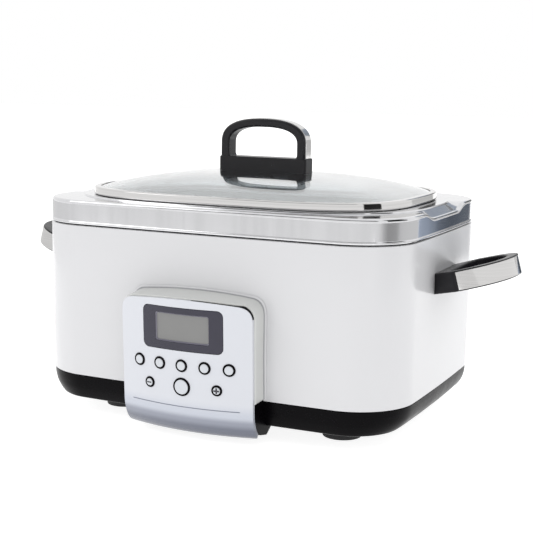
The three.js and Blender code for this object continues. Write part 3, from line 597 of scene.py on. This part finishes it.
FOOT_Z = PLATEAU_TOP + 0.3
band_rings = [
    (lid_ring(138, 98, FOOT_Z), 0.3), (lid_ring(147.4, 107.2, FOOT_Z), 0.6),
    (lid_ring(148, 108, FOOT_Z + 1.1), 0.6), (lid_ring(147.2, 107.2, GLASS_EDGE + 1), 0.5),
    (lid_ring(146.2, 106, GLASS_EDGE + 1.6), 0.4), (lid_ring(142.4, 101.6, GLASS_EDGE + 1.6), 0.3),
    (lid_ring(142.4, 101.6, GLASS_EDGE + 1), 0), (lid_ring(145, 104, GLASS_EDGE + 0.8), 0),
    (lid_ring(145, 104, FOOT_Z + 1), 0), (lid_ring(138, 98, FOOT_Z + 1), 0.3)]
add_piece("band", *loft(rounded(band_rings), True), "lid", "polished_steel", ["lid_band"], 50)


def dome_ring(share, drop):
    z = GLASS_EDGE + (GLASS_APEX - GLASS_EDGE) * (1 - share ** DOME_POWER) - drop
    return lid_ring(LID_LENGTH * share, LID_DEPTH * share, z)


shares = [0.01, 0.06, *np.linspace(0.12, 0.97, 26), 1.0]
dome = [dome_ring(s, GLASS_THICKNESS) for s in shares] + [dome_ring(s, 0) for s in shares[::-1]]
add_piece("glass", *loft(dome, False), "lid", "lid_glass", ["lid_glass"], 60)

ARCH_WIDTH = 41.2
ARCH_HEIGHT = 22
ARCH_BASE = 236
ARCH_POWER = 2.5
ARCH_FOOT = 216
HOLE_WIDTH = 33.2
HOLE_HEIGHT = 14.7
BLOCK_TOP = 224
BLOCK_BOTTOM = 209.8


def arch(width, height, steps=56):
    """A half superellipse over the arch's base, from +width to -width."""
    points = []
    for i in range(steps + 1):
        angle = math.pi * i / steps
        c, s = math.cos(angle), math.sin(angle)
        x = width * math.copysign(abs(c) ** (2 / ARCH_POWER), c)
        points.append((x, ARCH_BASE + height * abs(s) ** (2 / ARCH_POWER)))
    return points


def upright(points):
    """Stands a slab up so that its outline is in x and z."""
    return points[:, [0, 2, 1]]


loop_outline = [(ARCH_WIDTH, ARCH_FOOT), *arch(ARCH_WIDTH, ARCH_HEIGHT), (-ARCH_WIDTH, ARCH_FOOT)]
hole_corner = [(HOLE_WIDTH - 2.8, BLOCK_TOP - 0.6), (HOLE_WIDTH - 0.8, BLOCK_TOP + 0.2),
               (HOLE_WIDTH, BLOCK_TOP + 2.4)]
loop_hole = [*hole_corner, *arch(HOLE_WIDTH, HOLE_HEIGHT), *[(-x, z) for x, z in hole_corner[::-1]]]
points, faces = slab(loop_outline, [loop_hole], 16, 2.0)
add_piece("lid_loop", upright(points), faces, "lid", "black_plastic", ["lid_handle"], 50)


def rounded_box(x0, x1, y0, y1, radius, steps=8):
    points = []
    corners = [(x1 - radius, y0 + radius, -90), (x1 - radius, y1 - radius, 0),
               (x0 + radius, y1 - radius, 90), (x0 + radius, y0 + radius, 180)]
    for cx, cy, start in corners:
        for i in range(steps + 1):
            angle = math.radians(start + 90 * i / steps)
            points.append((cx + radius * math.cos(angle), cy + radius * math.sin(angle)))
    return points


points, faces = slab(rounded_box(-42.5, 42.5, -8.8, 8.8, 2.6), [], BLOCK_TOP - BLOCK_BOTTOM, 0.9)
points[:, 2] += (BLOCK_TOP + BLOCK_BOTTOM) / 2
reach = (np.abs(points[:, 0] / LID_LENGTH) ** LID_POWER
         + np.abs(points[:, 1] / LID_DEPTH) ** LID_POWER)
dome_height = GLASS_EDGE + (GLASS_APEX - GLASS_EDGE) * (1 - reach ** (DOME_POWER / LID_POWER))
low = points[:, 2] < 215
points[low, 2] = np.maximum(points[low, 2], dome_height[low] + 0.15)
add_piece("lid_block", points, faces, "lid", "black_plastic", [], 50)


def strip_outline(proud, sunk, foot):
    """A band along the arch, from proud of it to sunk into it."""
    outside, inside_width = ARCH_WIDTH + proud, ARCH_WIDTH - sunk
    outer_arch = arch(outside, ARCH_HEIGHT + proud)
    inner_arch = arch(inside_width, ARCH_HEIGHT - sunk)
    return [(outside, foot), *outer_arch, (-outside, foot),
            (-inside_width, foot), *inner_arch[::-1], (inside_width, foot)]


points, faces = slab(strip_outline(0.5, 0.9, BLOCK_TOP + 0.3), [], 11.2, 0.3)
add_piece("lid_strip", upright(points), faces, "lid", "polished_steel", ["lid_handle_strip"], 50)

# ------------------------------------------------------------------ side handles
BOW = {"start": 19.7, "reach": 43.6, "width": 43, "power": 2.43}
SIDE_TILT = 0.27
SIDE_Z = 128
SIDE_HEIGHT = 17
SIDE_FOOT = 29.5
STRIP_REACH = 0.965


def bow(inset, share=1.0, steps=48):
    """The handle's bow, set in from its outside, over a share of its sweep."""
    points = []
    for i in range(steps + 1):
        angle = (2 * i / steps - 1) * share * math.pi / 2
        c, s = math.cos(angle), math.sin(angle)
        points.append((BOW["start"] + (BOW["reach"] - inset) * abs(c) ** (2 / BOW["power"]),
                       (BOW["width"] - inset) * math.copysign(abs(s) ** (2 / BOW["power"]), s)))
    return points


def leant(points, side):
    """Leans a flat handle shape upwards and sets it on one end of the body."""
    c, s = math.cos(SIDE_TILT), math.sin(SIDE_TILT)
    x = HALF_LENGTH + points[:, 0] * c - points[:, 2] * s
    z = SIDE_Z + points[:, 0] * s + points[:, 2] * c
    return np.stack([x * side, points[:, 1] * side, z], axis=1)


def grip():
    outline = [(0, -SIDE_FOOT), *bow(0), (0, SIDE_FOOT)]
    hole = [(14.5, -22), (14.9, -25), (17, -29), *bow(9), (17, 29), (14.9, 25), (14.5, 22)]
    points, faces = slab(outline, [hole], SIDE_HEIGHT, 1.5)
    root = points[:, 0] < 1.6
    points[root, 0] = (points[root, 2] * math.sin(SIDE_TILT) - 0.1) / math.cos(SIDE_TILT)
    return points, faces


def grip_strip():
    outline = [*bow(-0.15, STRIP_REACH), *bow(1.1, STRIP_REACH)[::-1]]
    return slab(outline, [], SIDE_HEIGHT - 2.2, 0.25)


for side, sign in (("right", 1), ("left", -1)):
    points, faces = grip()
    add_piece(f"{side}_grip", leant(points, sign), faces, "base", "black_plastic",
              [f"{side}_handle"], 50)
    points, faces = grip_strip()
    add_piece(f"{side}_strip", leant(points, sign), faces, "base", "polished_steel",
              [f"{side}_handle_strip"], 50)


# ------------------------------------------------------------------ control panel
def bend(x):
    """How far the curved face falls back at a place across it."""
    return x ** 2 / (2 * FACE_RADIUS)


def in_panel(x, y, z):
    """Places points of the leaning panel frame in the body's frame."""
    c, s = math.cos(PANEL_LEAN), math.sin(PANEL_LEAN)
    return np.stack([x, PANEL_ORIGIN.y + y * c - z * s, PANEL_ORIGIN.z + y * s + z * c], axis=1)


def on_face(flat, depth):
    """Wraps flat (x, s) points over the face; s runs down the front and round the chin."""
    x, s = flat[:, 0], flat[:, 1]
    turn = np.maximum(CHIN_TOP - s, 0) / CHIN_LENGTH * CHIN_TURN
    y = depth + (CHIN_SETBACK - depth) * (1 - np.cos(turn))
    z = np.maximum(s, CHIN_TOP) - (CHIN_DROP - 0.9 * depth) * np.sin(turn)
    return in_panel(x, y + bend(x), z)


def divided(loop, spacing, like=None):
    """Adds points along a loop, none further apart than the spacing on it, or on the loop like."""
    like = like or loop
    result = []
    for i, (x0, y0) in enumerate(loop):
        after = (i + 1) % len(loop)
        x1, y1 = loop[after]
        length = math.hypot(like[after][0] - like[i][0], like[after][1] - like[i][1])
        steps = max(1, math.ceil(length / spacing))
        result += [(x0 + (x1 - x0) * k / steps, y0 + (y1 - y0) * k / steps)
                   for k in range(steps)]
    return result


def inside(points, loop):
    """Says of each point whether a flat loop surrounds it."""
    result = np.zeros(len(points), bool)
    for (x0, y0), (x1, y1) in zip(loop, [*loop[1:], loop[0]]):
        if y0 == y1:
            continue
        spans = (points[:, 1] < y0) != (points[:, 1] < y1)
        cross = x0 + (points[:, 1] - y0) * (x1 - x0) / (y1 - y0)
        result ^= spans & (points[:, 0] < cross)
    return result


def sheet(outline, holes, front, back, spacing=2.2):
    """A thin plate between two depths, cut from a flat outline and wrapped over the face."""
    loops = [divided(loop, spacing) for loop in (outline, *holes)]
    edge = np.array([point for loop in loops for point in loop])
    segments, start = [], 0
    for loop in loops:
        count = len(loop)
        segments += [(start + i, start + (i + 1) % count) for i in range(count)]
        start += count
    low, high = edge.min(0), edge.max(0)
    grid = np.array([(x, y) for x in np.arange(low[0], high[0], spacing)
                     for y in np.arange(low[1], high[1], spacing)])
    clear = inside(grid, loops[0])
    for loop in loops[1:]:
        clear &= ~inside(grid, loop)
    for point in edge:
        clear &= np.sum((grid - point) ** 2, axis=1) > (0.55 * spacing) ** 2
    flat = np.vstack([edge, grid[clear]])
    cut = delaunay_2d_cdt([Vector(point) for point in flat.tolist()], segments, [], 0, 1e-5)
    flat = np.array([tuple(point) for point in cut[0]])
    triangles = np.array([tuple(face) for face in cut[2]])
    middle = flat[triangles].mean(axis=1)
    keep = inside(middle, loops[0])
    for loop in loops[1:]:
        keep &= ~inside(middle, loop)
    triangles = triangles[keep]
    count = len(flat)
    points = np.vstack([on_face(flat, front), on_face(flat, back)])
    faces = [tuple(face) for face in triangles]
    faces += [tuple(count + i for i in face[::-1]) for face in triangles]
    used = {}
    for a, b, c in triangles.tolist():
        for pair in ((a, b), (b, c), (c, a)):
            key = tuple(sorted(pair))
            used[key] = None if key in used else pair
    faces += [(pair[1], pair[0], pair[0] + count, pair[1] + count)
              for pair in used.values() if pair]
    return points, faces


def curve_to(start, control, end, steps=10):
    """Points of a quadratic curve, without its start."""
    return [((1 - t) ** 2 * start[0] + 2 * t * (1 - t) * control[0] + t * t * end[0],
             (1 - t) ** 2 * start[1] + 2 * t * (1 - t) * control[1] + t * t * end[1])
            for t in (i / steps for i in range(1, steps + 1))]


def panel_outline(inset, bottom, corner=1.0, steps=1):
    """The face's outline, set in, down to a bottom whose corners take the given size."""
    width = FACE_WIDTH - inset
    shoulder = (FACE_SHOULDER[0] - inset, FACE_SHOULDER[1] - inset)
    crown = 2 * (FACE_TOP - inset) - shoulder[1]
    left_shoulder = (-shoulder[0], shoulder[1])
    loop = [(-width + corner, bottom), (width - corner, bottom)]
    loop += curve_to(loop[-1], (width, bottom), (width, bottom + corner), steps)
    loop.append((width, FACE_SIDE))
    loop += curve_to(loop[-1], (width, shoulder[1] - 0.6), shoulder)
    loop += curve_to(shoulder, (0, crown), left_shoulder, 36)
    loop += curve_to(left_shoulder, (-width, shoulder[1] - 0.6), (-width, FACE_SIDE))
    loop.append((-width, bottom + corner))
    return loop + curve_to(loop[-1], (-width, bottom), loop[0], steps)[:-1]


def ring_of(radius, x=0.0, z=0.0, steps=40):
    return [(x + radius * math.cos(2 * math.pi * i / steps),
             z + radius * math.sin(2 * math.pi * i / steps)) for i in range(steps)]


def slot_hole(half_length, half_height, z, steps=6):
    """A level slot with round ends."""
    points = []
    for sign, start in ((1, -90), (-1, 90)):
        for i in range(steps + 1):
            angle = math.radians(start + 180 * i / steps)
            points.append((sign * half_length + half_height * math.cos(angle),
                           z + half_height * math.sin(angle)))
    return points


def framed(half_width, low, high, inset, radius):
    """A rounded window across the middle of the panel, set in on all sides."""
    return rounded_box(inset - half_width, half_width - inset, low + inset, high - inset, radius)


GROOVE_Z = -29.2
face_holes = [framed(*BEZEL, -0.3, 5.3), slot_hole(49, 0.4, GROOVE_Z)]
face_holes += [ring_of(radius + BUTTON_GAP, x, z) for _, x, z, radius in BUTTONS]
face_outline = panel_outline(0, CHIN_TOP - CHIN_LENGTH, CHIN_CORNER, 8)
face = add_piece("face", *sheet(face_outline, face_holes, 0, FACE_THICKNESS), "base",
                 "panel_silver", ["faceplate"])
bevel(face, 0.55)
# The groove's fill is darker than the face: painted shade inside the groove.
add_piece("face_groove", *sheet(slot_hole(49.4, 0.9, GROOVE_Z), [], 0.4, 1.6),
          "base", "panel_silver", [], 35, painted_groove_shade)

opening = framed(*OPENING, 0, 1.2)
bezel = add_piece("bezel", *sheet(framed(*BEZEL, 0, 5), [opening], 0.12, 2.6), "base",
                  "display_bezel", ["display_frame"])
bevel(bezel, 0.5)
# The lip round the opening is coloured lighter than the bezel: a painted highlight on its chamfer.
lip_rings = []
for inset, depth in ((-0.3, 0.5), (0, 0.5), (0.8, 1.62), (-0.3, 1.62)):
    loop = divided(framed(*OPENING, inset, 1.5), 2, opening)
    lip_rings.append((on_face(np.array(loop), depth), 0))
add_piece("display_lip", *loft(rounded(lip_rings), True), "base", "display_bezel", [], 35, painted_lip_highlight)
add_piece("screen", *sheet(framed(*OPENING, 0.1, 1.1), [], 1.7, 4.2), "base", "display_glass",
          ["lcd_panel"])


def on_button(x, z, local):
    """Places points drawn as (across, up, depth) on the face at a button."""
    turn = math.atan(x / FACE_RADIUS)
    across, up, depth = local[:, 0], local[:, 1], local[:, 2]
    return in_panel(x + across * math.cos(turn) - depth * math.sin(turn),
                    bend(x) + across * math.sin(turn) + depth * math.cos(turn), z + up)


for name, x, z, radius in BUTTONS:
    stem = STEM_REACH - bend(x)
    disc = radius - BUTTON_COLLAR
    cap = turned([(0.3, -BUTTON_PROUD, 0), (disc - 0.5, -BUTTON_PROUD + 0.06, 0.4),
                  (disc, -BUTTON_PROUD + 0.4, 0.25), (disc, 3.6, 0.2), (radius + 1.6, 3.6, 0.2),
                  (radius + 1.6, 4.8, 0.2), (2, 4.8, 0.2), (2, stem, 0)], 40)
    points, faces = loft(rounded(cap, 5, False), False)
    add_piece(f"{name}_cap", on_button(x, z, np.array(points)), faces, name, "button_caps",
              [name])
    edge = radius + BUTTON_GAP
    # Painted shade: the collar round each cap is near-black, standing in for the shaded side wall and
    # gap that read as a dark crescent.
    painted_shade_collar = turned([(disc + 0.05, -BUTTON_PROUD + 0.5, 0.1), (edge - 0.22, -BUTTON_PROUD + 0.5, 0.3),
                     (edge - 0.22, 3.5, 0), (disc + 0.05, 3.5, 0)], 40)
    points, faces = loft(rounded(painted_shade_collar), True)
    add_piece(f"{name}_collar", on_button(x, z, np.array(points)), faces, name, "button_caps", [],
              35, base_black)
    sleeve = turned([(edge - 0.15, 0.7, 0), (edge - 0.02, 0.5, 0), (edge - 0.02, 3, 0),
                     (edge - 0.15, 3, 0)], 40)
    points, faces = loft(rounded(sleeve), True)
    add_piece(f"{name}_sleeve", on_button(x, z, np.array(points)), faces, "base",
              "black_plastic", [], 35, base_black)

MARK = 0.5
bar = [(-2.1, -MARK), (2.1, -MARK), (2.1, MARK), (-2.1, MARK)]
PLUS_ARM, PLUS_HALF = 2.4, 0.66
plus = [(PLUS_HALF, PLUS_HALF), (PLUS_HALF, PLUS_ARM), (-PLUS_HALF, PLUS_ARM),
        (-PLUS_HALF, PLUS_HALF), (-PLUS_ARM, PLUS_HALF), (-PLUS_ARM, -PLUS_HALF),
        (-PLUS_HALF, -PLUS_HALF), (-PLUS_HALF, -PLUS_ARM), (PLUS_HALF, -PLUS_ARM),
        (PLUS_HALF, -PLUS_HALF), (PLUS_ARM, -PLUS_HALF), (PLUS_ARM, PLUS_HALF)]
for name, x, shape in (("minus_button", -SIGN_X, bar), ("plus_button", SIGN_X, plus)):
    points, faces = slab(shape, [], 0.4, 0.08)
    points[:, 2] -= BUTTON_PROUD - 0.05
    add_piece(f"{name}_mark", on_button(x, LOWER_ROW, points), faces, name, "button_caps", [],
              35, glyph_ink)


def body_front(x, z):
    """The body's front surface at a height in the body's frame."""
    foot = np.clip((70 - z) / (70 - SHELL_BOTTOM), 0, 1)
    return -(HALF_DEPTH - (HALF_DEPTH - SHELL_FOOT_DEPTH) * foot
             - SIDE_BULGE * (x / HALF_LENGTH) ** 2)


HOUSING_FOOT = SHELL_BOTTOM - PANEL_ORIGIN.z
HOUSING_SPREAD = 0.7


def housing_ring(inset, share, lift=0.0, rise=0.0):
    """A section of the panel's surround, from just behind the face (0) to the body (1).

    The lift moves it back, and the rise raises its bottom.
    """
    reference = panel_outline(-HOUSING_SPREAD, HOUSING_FOOT)
    flat = np.array(divided(panel_outline(inset, HOUSING_FOOT + rise), 1.6, reference))
    x, z = flat[:, 0], flat[:, 1]
    gape = 0.9 * np.exp(-((x - 50) / 16) ** 2) * np.clip((z - 35) / 15, 0, 1)
    front = FACE_THICKNESS + 0.3 + bend(x) + gape
    c, s = math.cos(PANEL_LEAN), math.sin(PANEL_LEAN)
    height = PANEL_ORIGIN.z + z * c
    back = (body_front(x, height) - 0.25 - PANEL_ORIGIN.y + z * s) / c
    y = front + (back - front) * share + lift
    return in_panel(x, y, np.where(z > 0, z * (1 + 0.0012 * y), z))


housing_rings = [(housing_ring(-HOUSING_SPREAD, 0), 1.3)]
housing_rings += [(housing_ring(-HOUSING_SPREAD, k / 6), 0) for k in range(1, 7)]
housing_rings += [(housing_ring(1.7, 1), 0), (housing_ring(1.7, 0), 0.4)]
add_piece("surround", *loft(rounded(housing_rings, 5), True), "base", "panel_white",
          ["panel_housing"], 50)


panel_edge = np.array(divided(panel_outline(0, HOUSING_FOOT), 1.2))
along = np.roll(panel_edge, -1, axis=0) - np.roll(panel_edge, 1, axis=0)
outwards = np.stack([along[:, 1], -along[:, 0]], axis=1)
outwards /= np.linalg.norm(outwards, axis=1, keepdims=True)


def edge_ring(spread, depth):
    """The panel's edge spread outwards, by one distance or one a point, at a depth behind it."""
    flat = panel_edge + outwards * np.reshape(spread, (-1, 1))
    return in_panel(flat[:, 0], depth + bend(flat[:, 0]), flat[:, 1])


def gap_shade_reach():
    """The painted gap shade shows as a hairline along the top right and widens round the corner."""
    x, z = panel_edge[:, 0], panel_edge[:, 1]
    along_top = np.clip((x + 25) / 40, 0, 1) * np.clip((z - 44) / 3, 0, 1)
    corner = np.exp(-((x - 52) / 4) ** 2) * np.clip((z - 44) / 6, 0, 1)
    return -0.6 + 0.72 * along_top + 0.9 * corner


# Painted shade: a near-black sheet behind the face's edge fills the shadow gap between the face and
# the surround.
SUNK = -1.6
gap_shade_sheet = [(edge_ring(SUNK, 0.8), 0), (edge_ring(gap_shade_reach(), 0.8), 0.2),
          (edge_ring(gap_shade_reach(), 3.2), 0), (edge_ring(SUNK, 3.2), 0)]
add_piece("gap_shade_sheet", *loft(rounded(gap_shade_sheet), True), "base", "black_plastic", [], 50, base_black)

flange = [(housing_ring(-2.7, 1, -0.1), 0.1), (housing_ring(-2.5, 1, -0.7), 0.4),
          (housing_ring(-0.5, 1, -0.9, 1.5), 0), (housing_ring(-0.5, 1, -0.1, 1.5), 0)]
add_piece("surround_flange", *loft(rounded(flange), True), "base", "shell_enamel", [], 50)
# The crease bead is coloured darker than the surround: a painted shadow where it meets the body.
crease = [(housing_ring(-1.5, 1, -0.6, 0.2), 0.1), (housing_ring(-1.4, 1, -1.15, 0.2), 0.3),
          (housing_ring(-0.5, 1, -1.5, 1.5), 0), (housing_ring(-0.5, 1, -0.6, 1.5), 0)]
add_piece("crease", *loft(rounded(crease), True), "base", "panel_white", [], 50, painted_crease_shadow)

frame["nodes"]["panel_base"].data.materials[0] = base_black
for node, width in (("panel_base", 0.5), ("bottom_cover", 0.3), ("sensor_bracket", 0.2)):
    bevel(frame["nodes"][node], width)

for piece in pieces:
    shading = piece.modifiers.new("shading", "WEIGHTED_NORMAL")
    shading.keep_sharp = True


# ------------------------------------------------------------------ stage, lights and camera
def stage_mesh(name, points, faces, material):
    mesh = bpy.data.meshes.new(name)
    mesh.from_pydata(points, [], faces)
    mesh.materials.append(material)
    mesh.shade_smooth()
    stage = bpy.data.objects.new(name, mesh)
    bpy.context.scene.collection.objects.link(stage)
    return stage


floor_look = Surface("pale_floor", srgb(190, 190, 190), 0.9, Emission_Strength=0.88)
floor_look.shader.inputs["Emission Color"].default_value = (1.0, 1.0, 1.0, 1.0)
floor_look.mottle(floor_look.noise(3), 0.004)
FLOOR = 8.0
stage_mesh("floor", [(-FLOOR, -FLOOR, 0), (FLOOR, -FLOOR, 0), (FLOOR, FLOOR, 0), (-FLOOR, FLOOR, 0)],
           [(0, 1, 2, 3)], floor_look.material)


def around(bearing, distance):
    """A place on the floor at a bearing from the front towards +X, in metres."""
    angle = math.radians(bearing)
    return math.sin(angle) * distance, -math.cos(angle) * distance


def flag(name, place, facing, width, low, high, shades, tone=(1, 1, 1)):
    """A card that only mirror reflections see, standing at a place and facing along a bearing.

    It runs from low to high above the floor, in metres. Its brightness runs across it through the
    given (position, brightness) pairs, each tinted by the tone.
    """
    look = Surface(name, (0, 0, 0, 1), 1.0, Specular_IOR_Level=0.0, Emission_Strength=1.0)
    across = look.nodes.new("ShaderNodeTexCoord")
    split = look.nodes.new("ShaderNodeSeparateXYZ")
    look.links.new(across.outputs["Generated"], split.inputs["Vector"])
    stops = [(share, (*(shade * part for part in tone), 1)) for share, shade in shades]
    look.tint(split.outputs["X"], stops, "Emission Color")
    corners = [(-width / 2, 0, low), (width / 2, 0, low), (width / 2, 0, high), (-width / 2, 0, high)]
    card = stage_mesh(name, corners, [(0, 1, 2, 3)], look.material)
    card.location = (place[0], place[1] + BODY_Y, 0)
    card.rotation_euler = (0, 0, math.radians(facing))
    card.visible_camera = False
    card.visible_diffuse = False
    card.visible_shadow = False
    card.visible_transmission = False


# Low cards give the steel skirt its bands, from the left round the front to the back.
CARD_TOP = 0.14
flag("flag_left", around(-80, 0.95), -80, 2.3, 0.0, CARD_TOP, [(0, 0.8), (1, 0.88)])
flag("flag_front", around(-3, 0.95), 8, 2.4, 0.0, CARD_TOP, [(0, 0.89), (0.4, 0.88), (1, 0.87)])
flag("flag_corner", around(76.5, 0.9), 76.5, 0.8, 0.0, CARD_TOP,
     [(0.05, 0.87), (0.44, 0.37), (0.6, 0.38), (0.95, 0.69)])
flag("flag_side", around(122.5, 1.02), 122.5, 0.94, 0.0, CARD_TOP, [(0, 0.69), (1, 0.7)])
flag("flag_end", around(154, 1.05), 154, 0.26, 0.0, CARD_TOP,
     [(0.05, 0.5), (0.25, 0.36), (0.45, 0.1), (1, 0.12)], (0.86, 1.0, 1.24))

# Higher ones darken the lid handle's strip, the lid band, the rim's dip and the top edges.
flag("flag_strip", around(155.5, 1.2), 155.5, 0.34, 0.15, 0.34, [(0, 0.7), (1, 0.6)])
flag("flag_band", (0.217, -0.089), 82, 0.064, 0.196, 0.26, [(0, 0.02), (1, 0.03)])
flag("flag_band_end", around(170, 2.0), 170, 0.74, 0.3, 0.75, [(0, 0.07), (1, 0.14)])
flag("flag_dip", around(170, 2.0), 170, 0.74, 0.76, 1.15, [(0, 0.35), (1, 0.42)], (0.9, 1.0, 1.15))
flag("flag_high", around(12, 2.0), 12, 4.2, 1.1, 2.6, [(0, 0.1), (0.5, 0.03), (1, 0.1)])

world = bpy.data.worlds.new("studio")
world.use_nodes = True
bpy.context.scene.world = world
background = world.node_tree.nodes["Background"]
background.inputs["Strength"].default_value = 1.0
place = world.node_tree.nodes.new("ShaderNodeTexCoord")
split = world.node_tree.nodes.new("ShaderNodeSeparateXYZ")
ramp = world.node_tree.nodes.new("ShaderNodeValToRGB")
ramp.color_ramp.elements[0].position = 0.55
ramp.color_ramp.elements[0].color = (1.0, 1.0, 1.0, 1)
ramp.color_ramp.elements[1].position = 1.0
ramp.color_ramp.elements[1].color = (0.95, 0.955, 0.96, 1)
world.node_tree.links.new(place.outputs["Generated"], split.inputs["Vector"])
world.node_tree.links.new(split.outputs["Z"], ramp.inputs["Fac"])
world.node_tree.links.new(ramp.outputs["Color"], background.inputs["Color"])


def area_light(name, place, aim, size, watts, mirrored=True):
    light = bpy.data.lights.new(name, "AREA")
    light.shape = "DISK"
    light.size = size
    light.energy = watts
    carrier = bpy.data.objects.new(name, light)
    carrier.location = place
    carrier.rotation_euler = (Vector(aim) - Vector(place)).to_track_quat("-Z", "Y").to_euler()
    carrier.visible_glossy = mirrored
    bpy.context.scene.collection.objects.link(carrier)


area_light("key", (-1.5, -1.2, 1.5), (0, 0, 0.1), 1.2, 5)
area_light("side", (1.9, 0.2, 0.9), (0, 0, 0.1), 1.2, 0.3, False)

CAMERA_PLACE = (461.71, -969.25, 295.99)
CAMERA_FORWARD = (-0.42294, 0.89236, -0.15754)
CAMERA_ROLL = math.radians(0.846)
FOCAL_PIXELS = 1198.63
FRAME_PIXELS = 533
SENSOR = 36.0

forward = Vector(CAMERA_FORWARD).normalized()
right = forward.cross(Vector((0, 0, 1))).normalized()
up = right.cross(forward)
rolled_right = right * math.cos(CAMERA_ROLL) + up * math.sin(CAMERA_ROLL)
rolled_up = up * math.cos(CAMERA_ROLL) - right * math.sin(CAMERA_ROLL)
pose = Matrix((rolled_right, rolled_up, -forward)).transposed().to_4x4()
pose.translation = Vector(CAMERA_PLACE) * MM + Vector((0, BODY_Y, 0))
lens = bpy.data.cameras.new("camera")
lens.sensor_width = SENSOR
lens.lens = SENSOR * FOCAL_PIXELS / FRAME_PIXELS
camera = bpy.data.objects.new("camera", lens)
camera.matrix_world = pose
bpy.context.scene.collection.objects.link(camera)
bpy.context.scene.camera = camera
bpy.context.scene.view_settings.view_transform = "Standard"

bpy.context.view_layer.update()
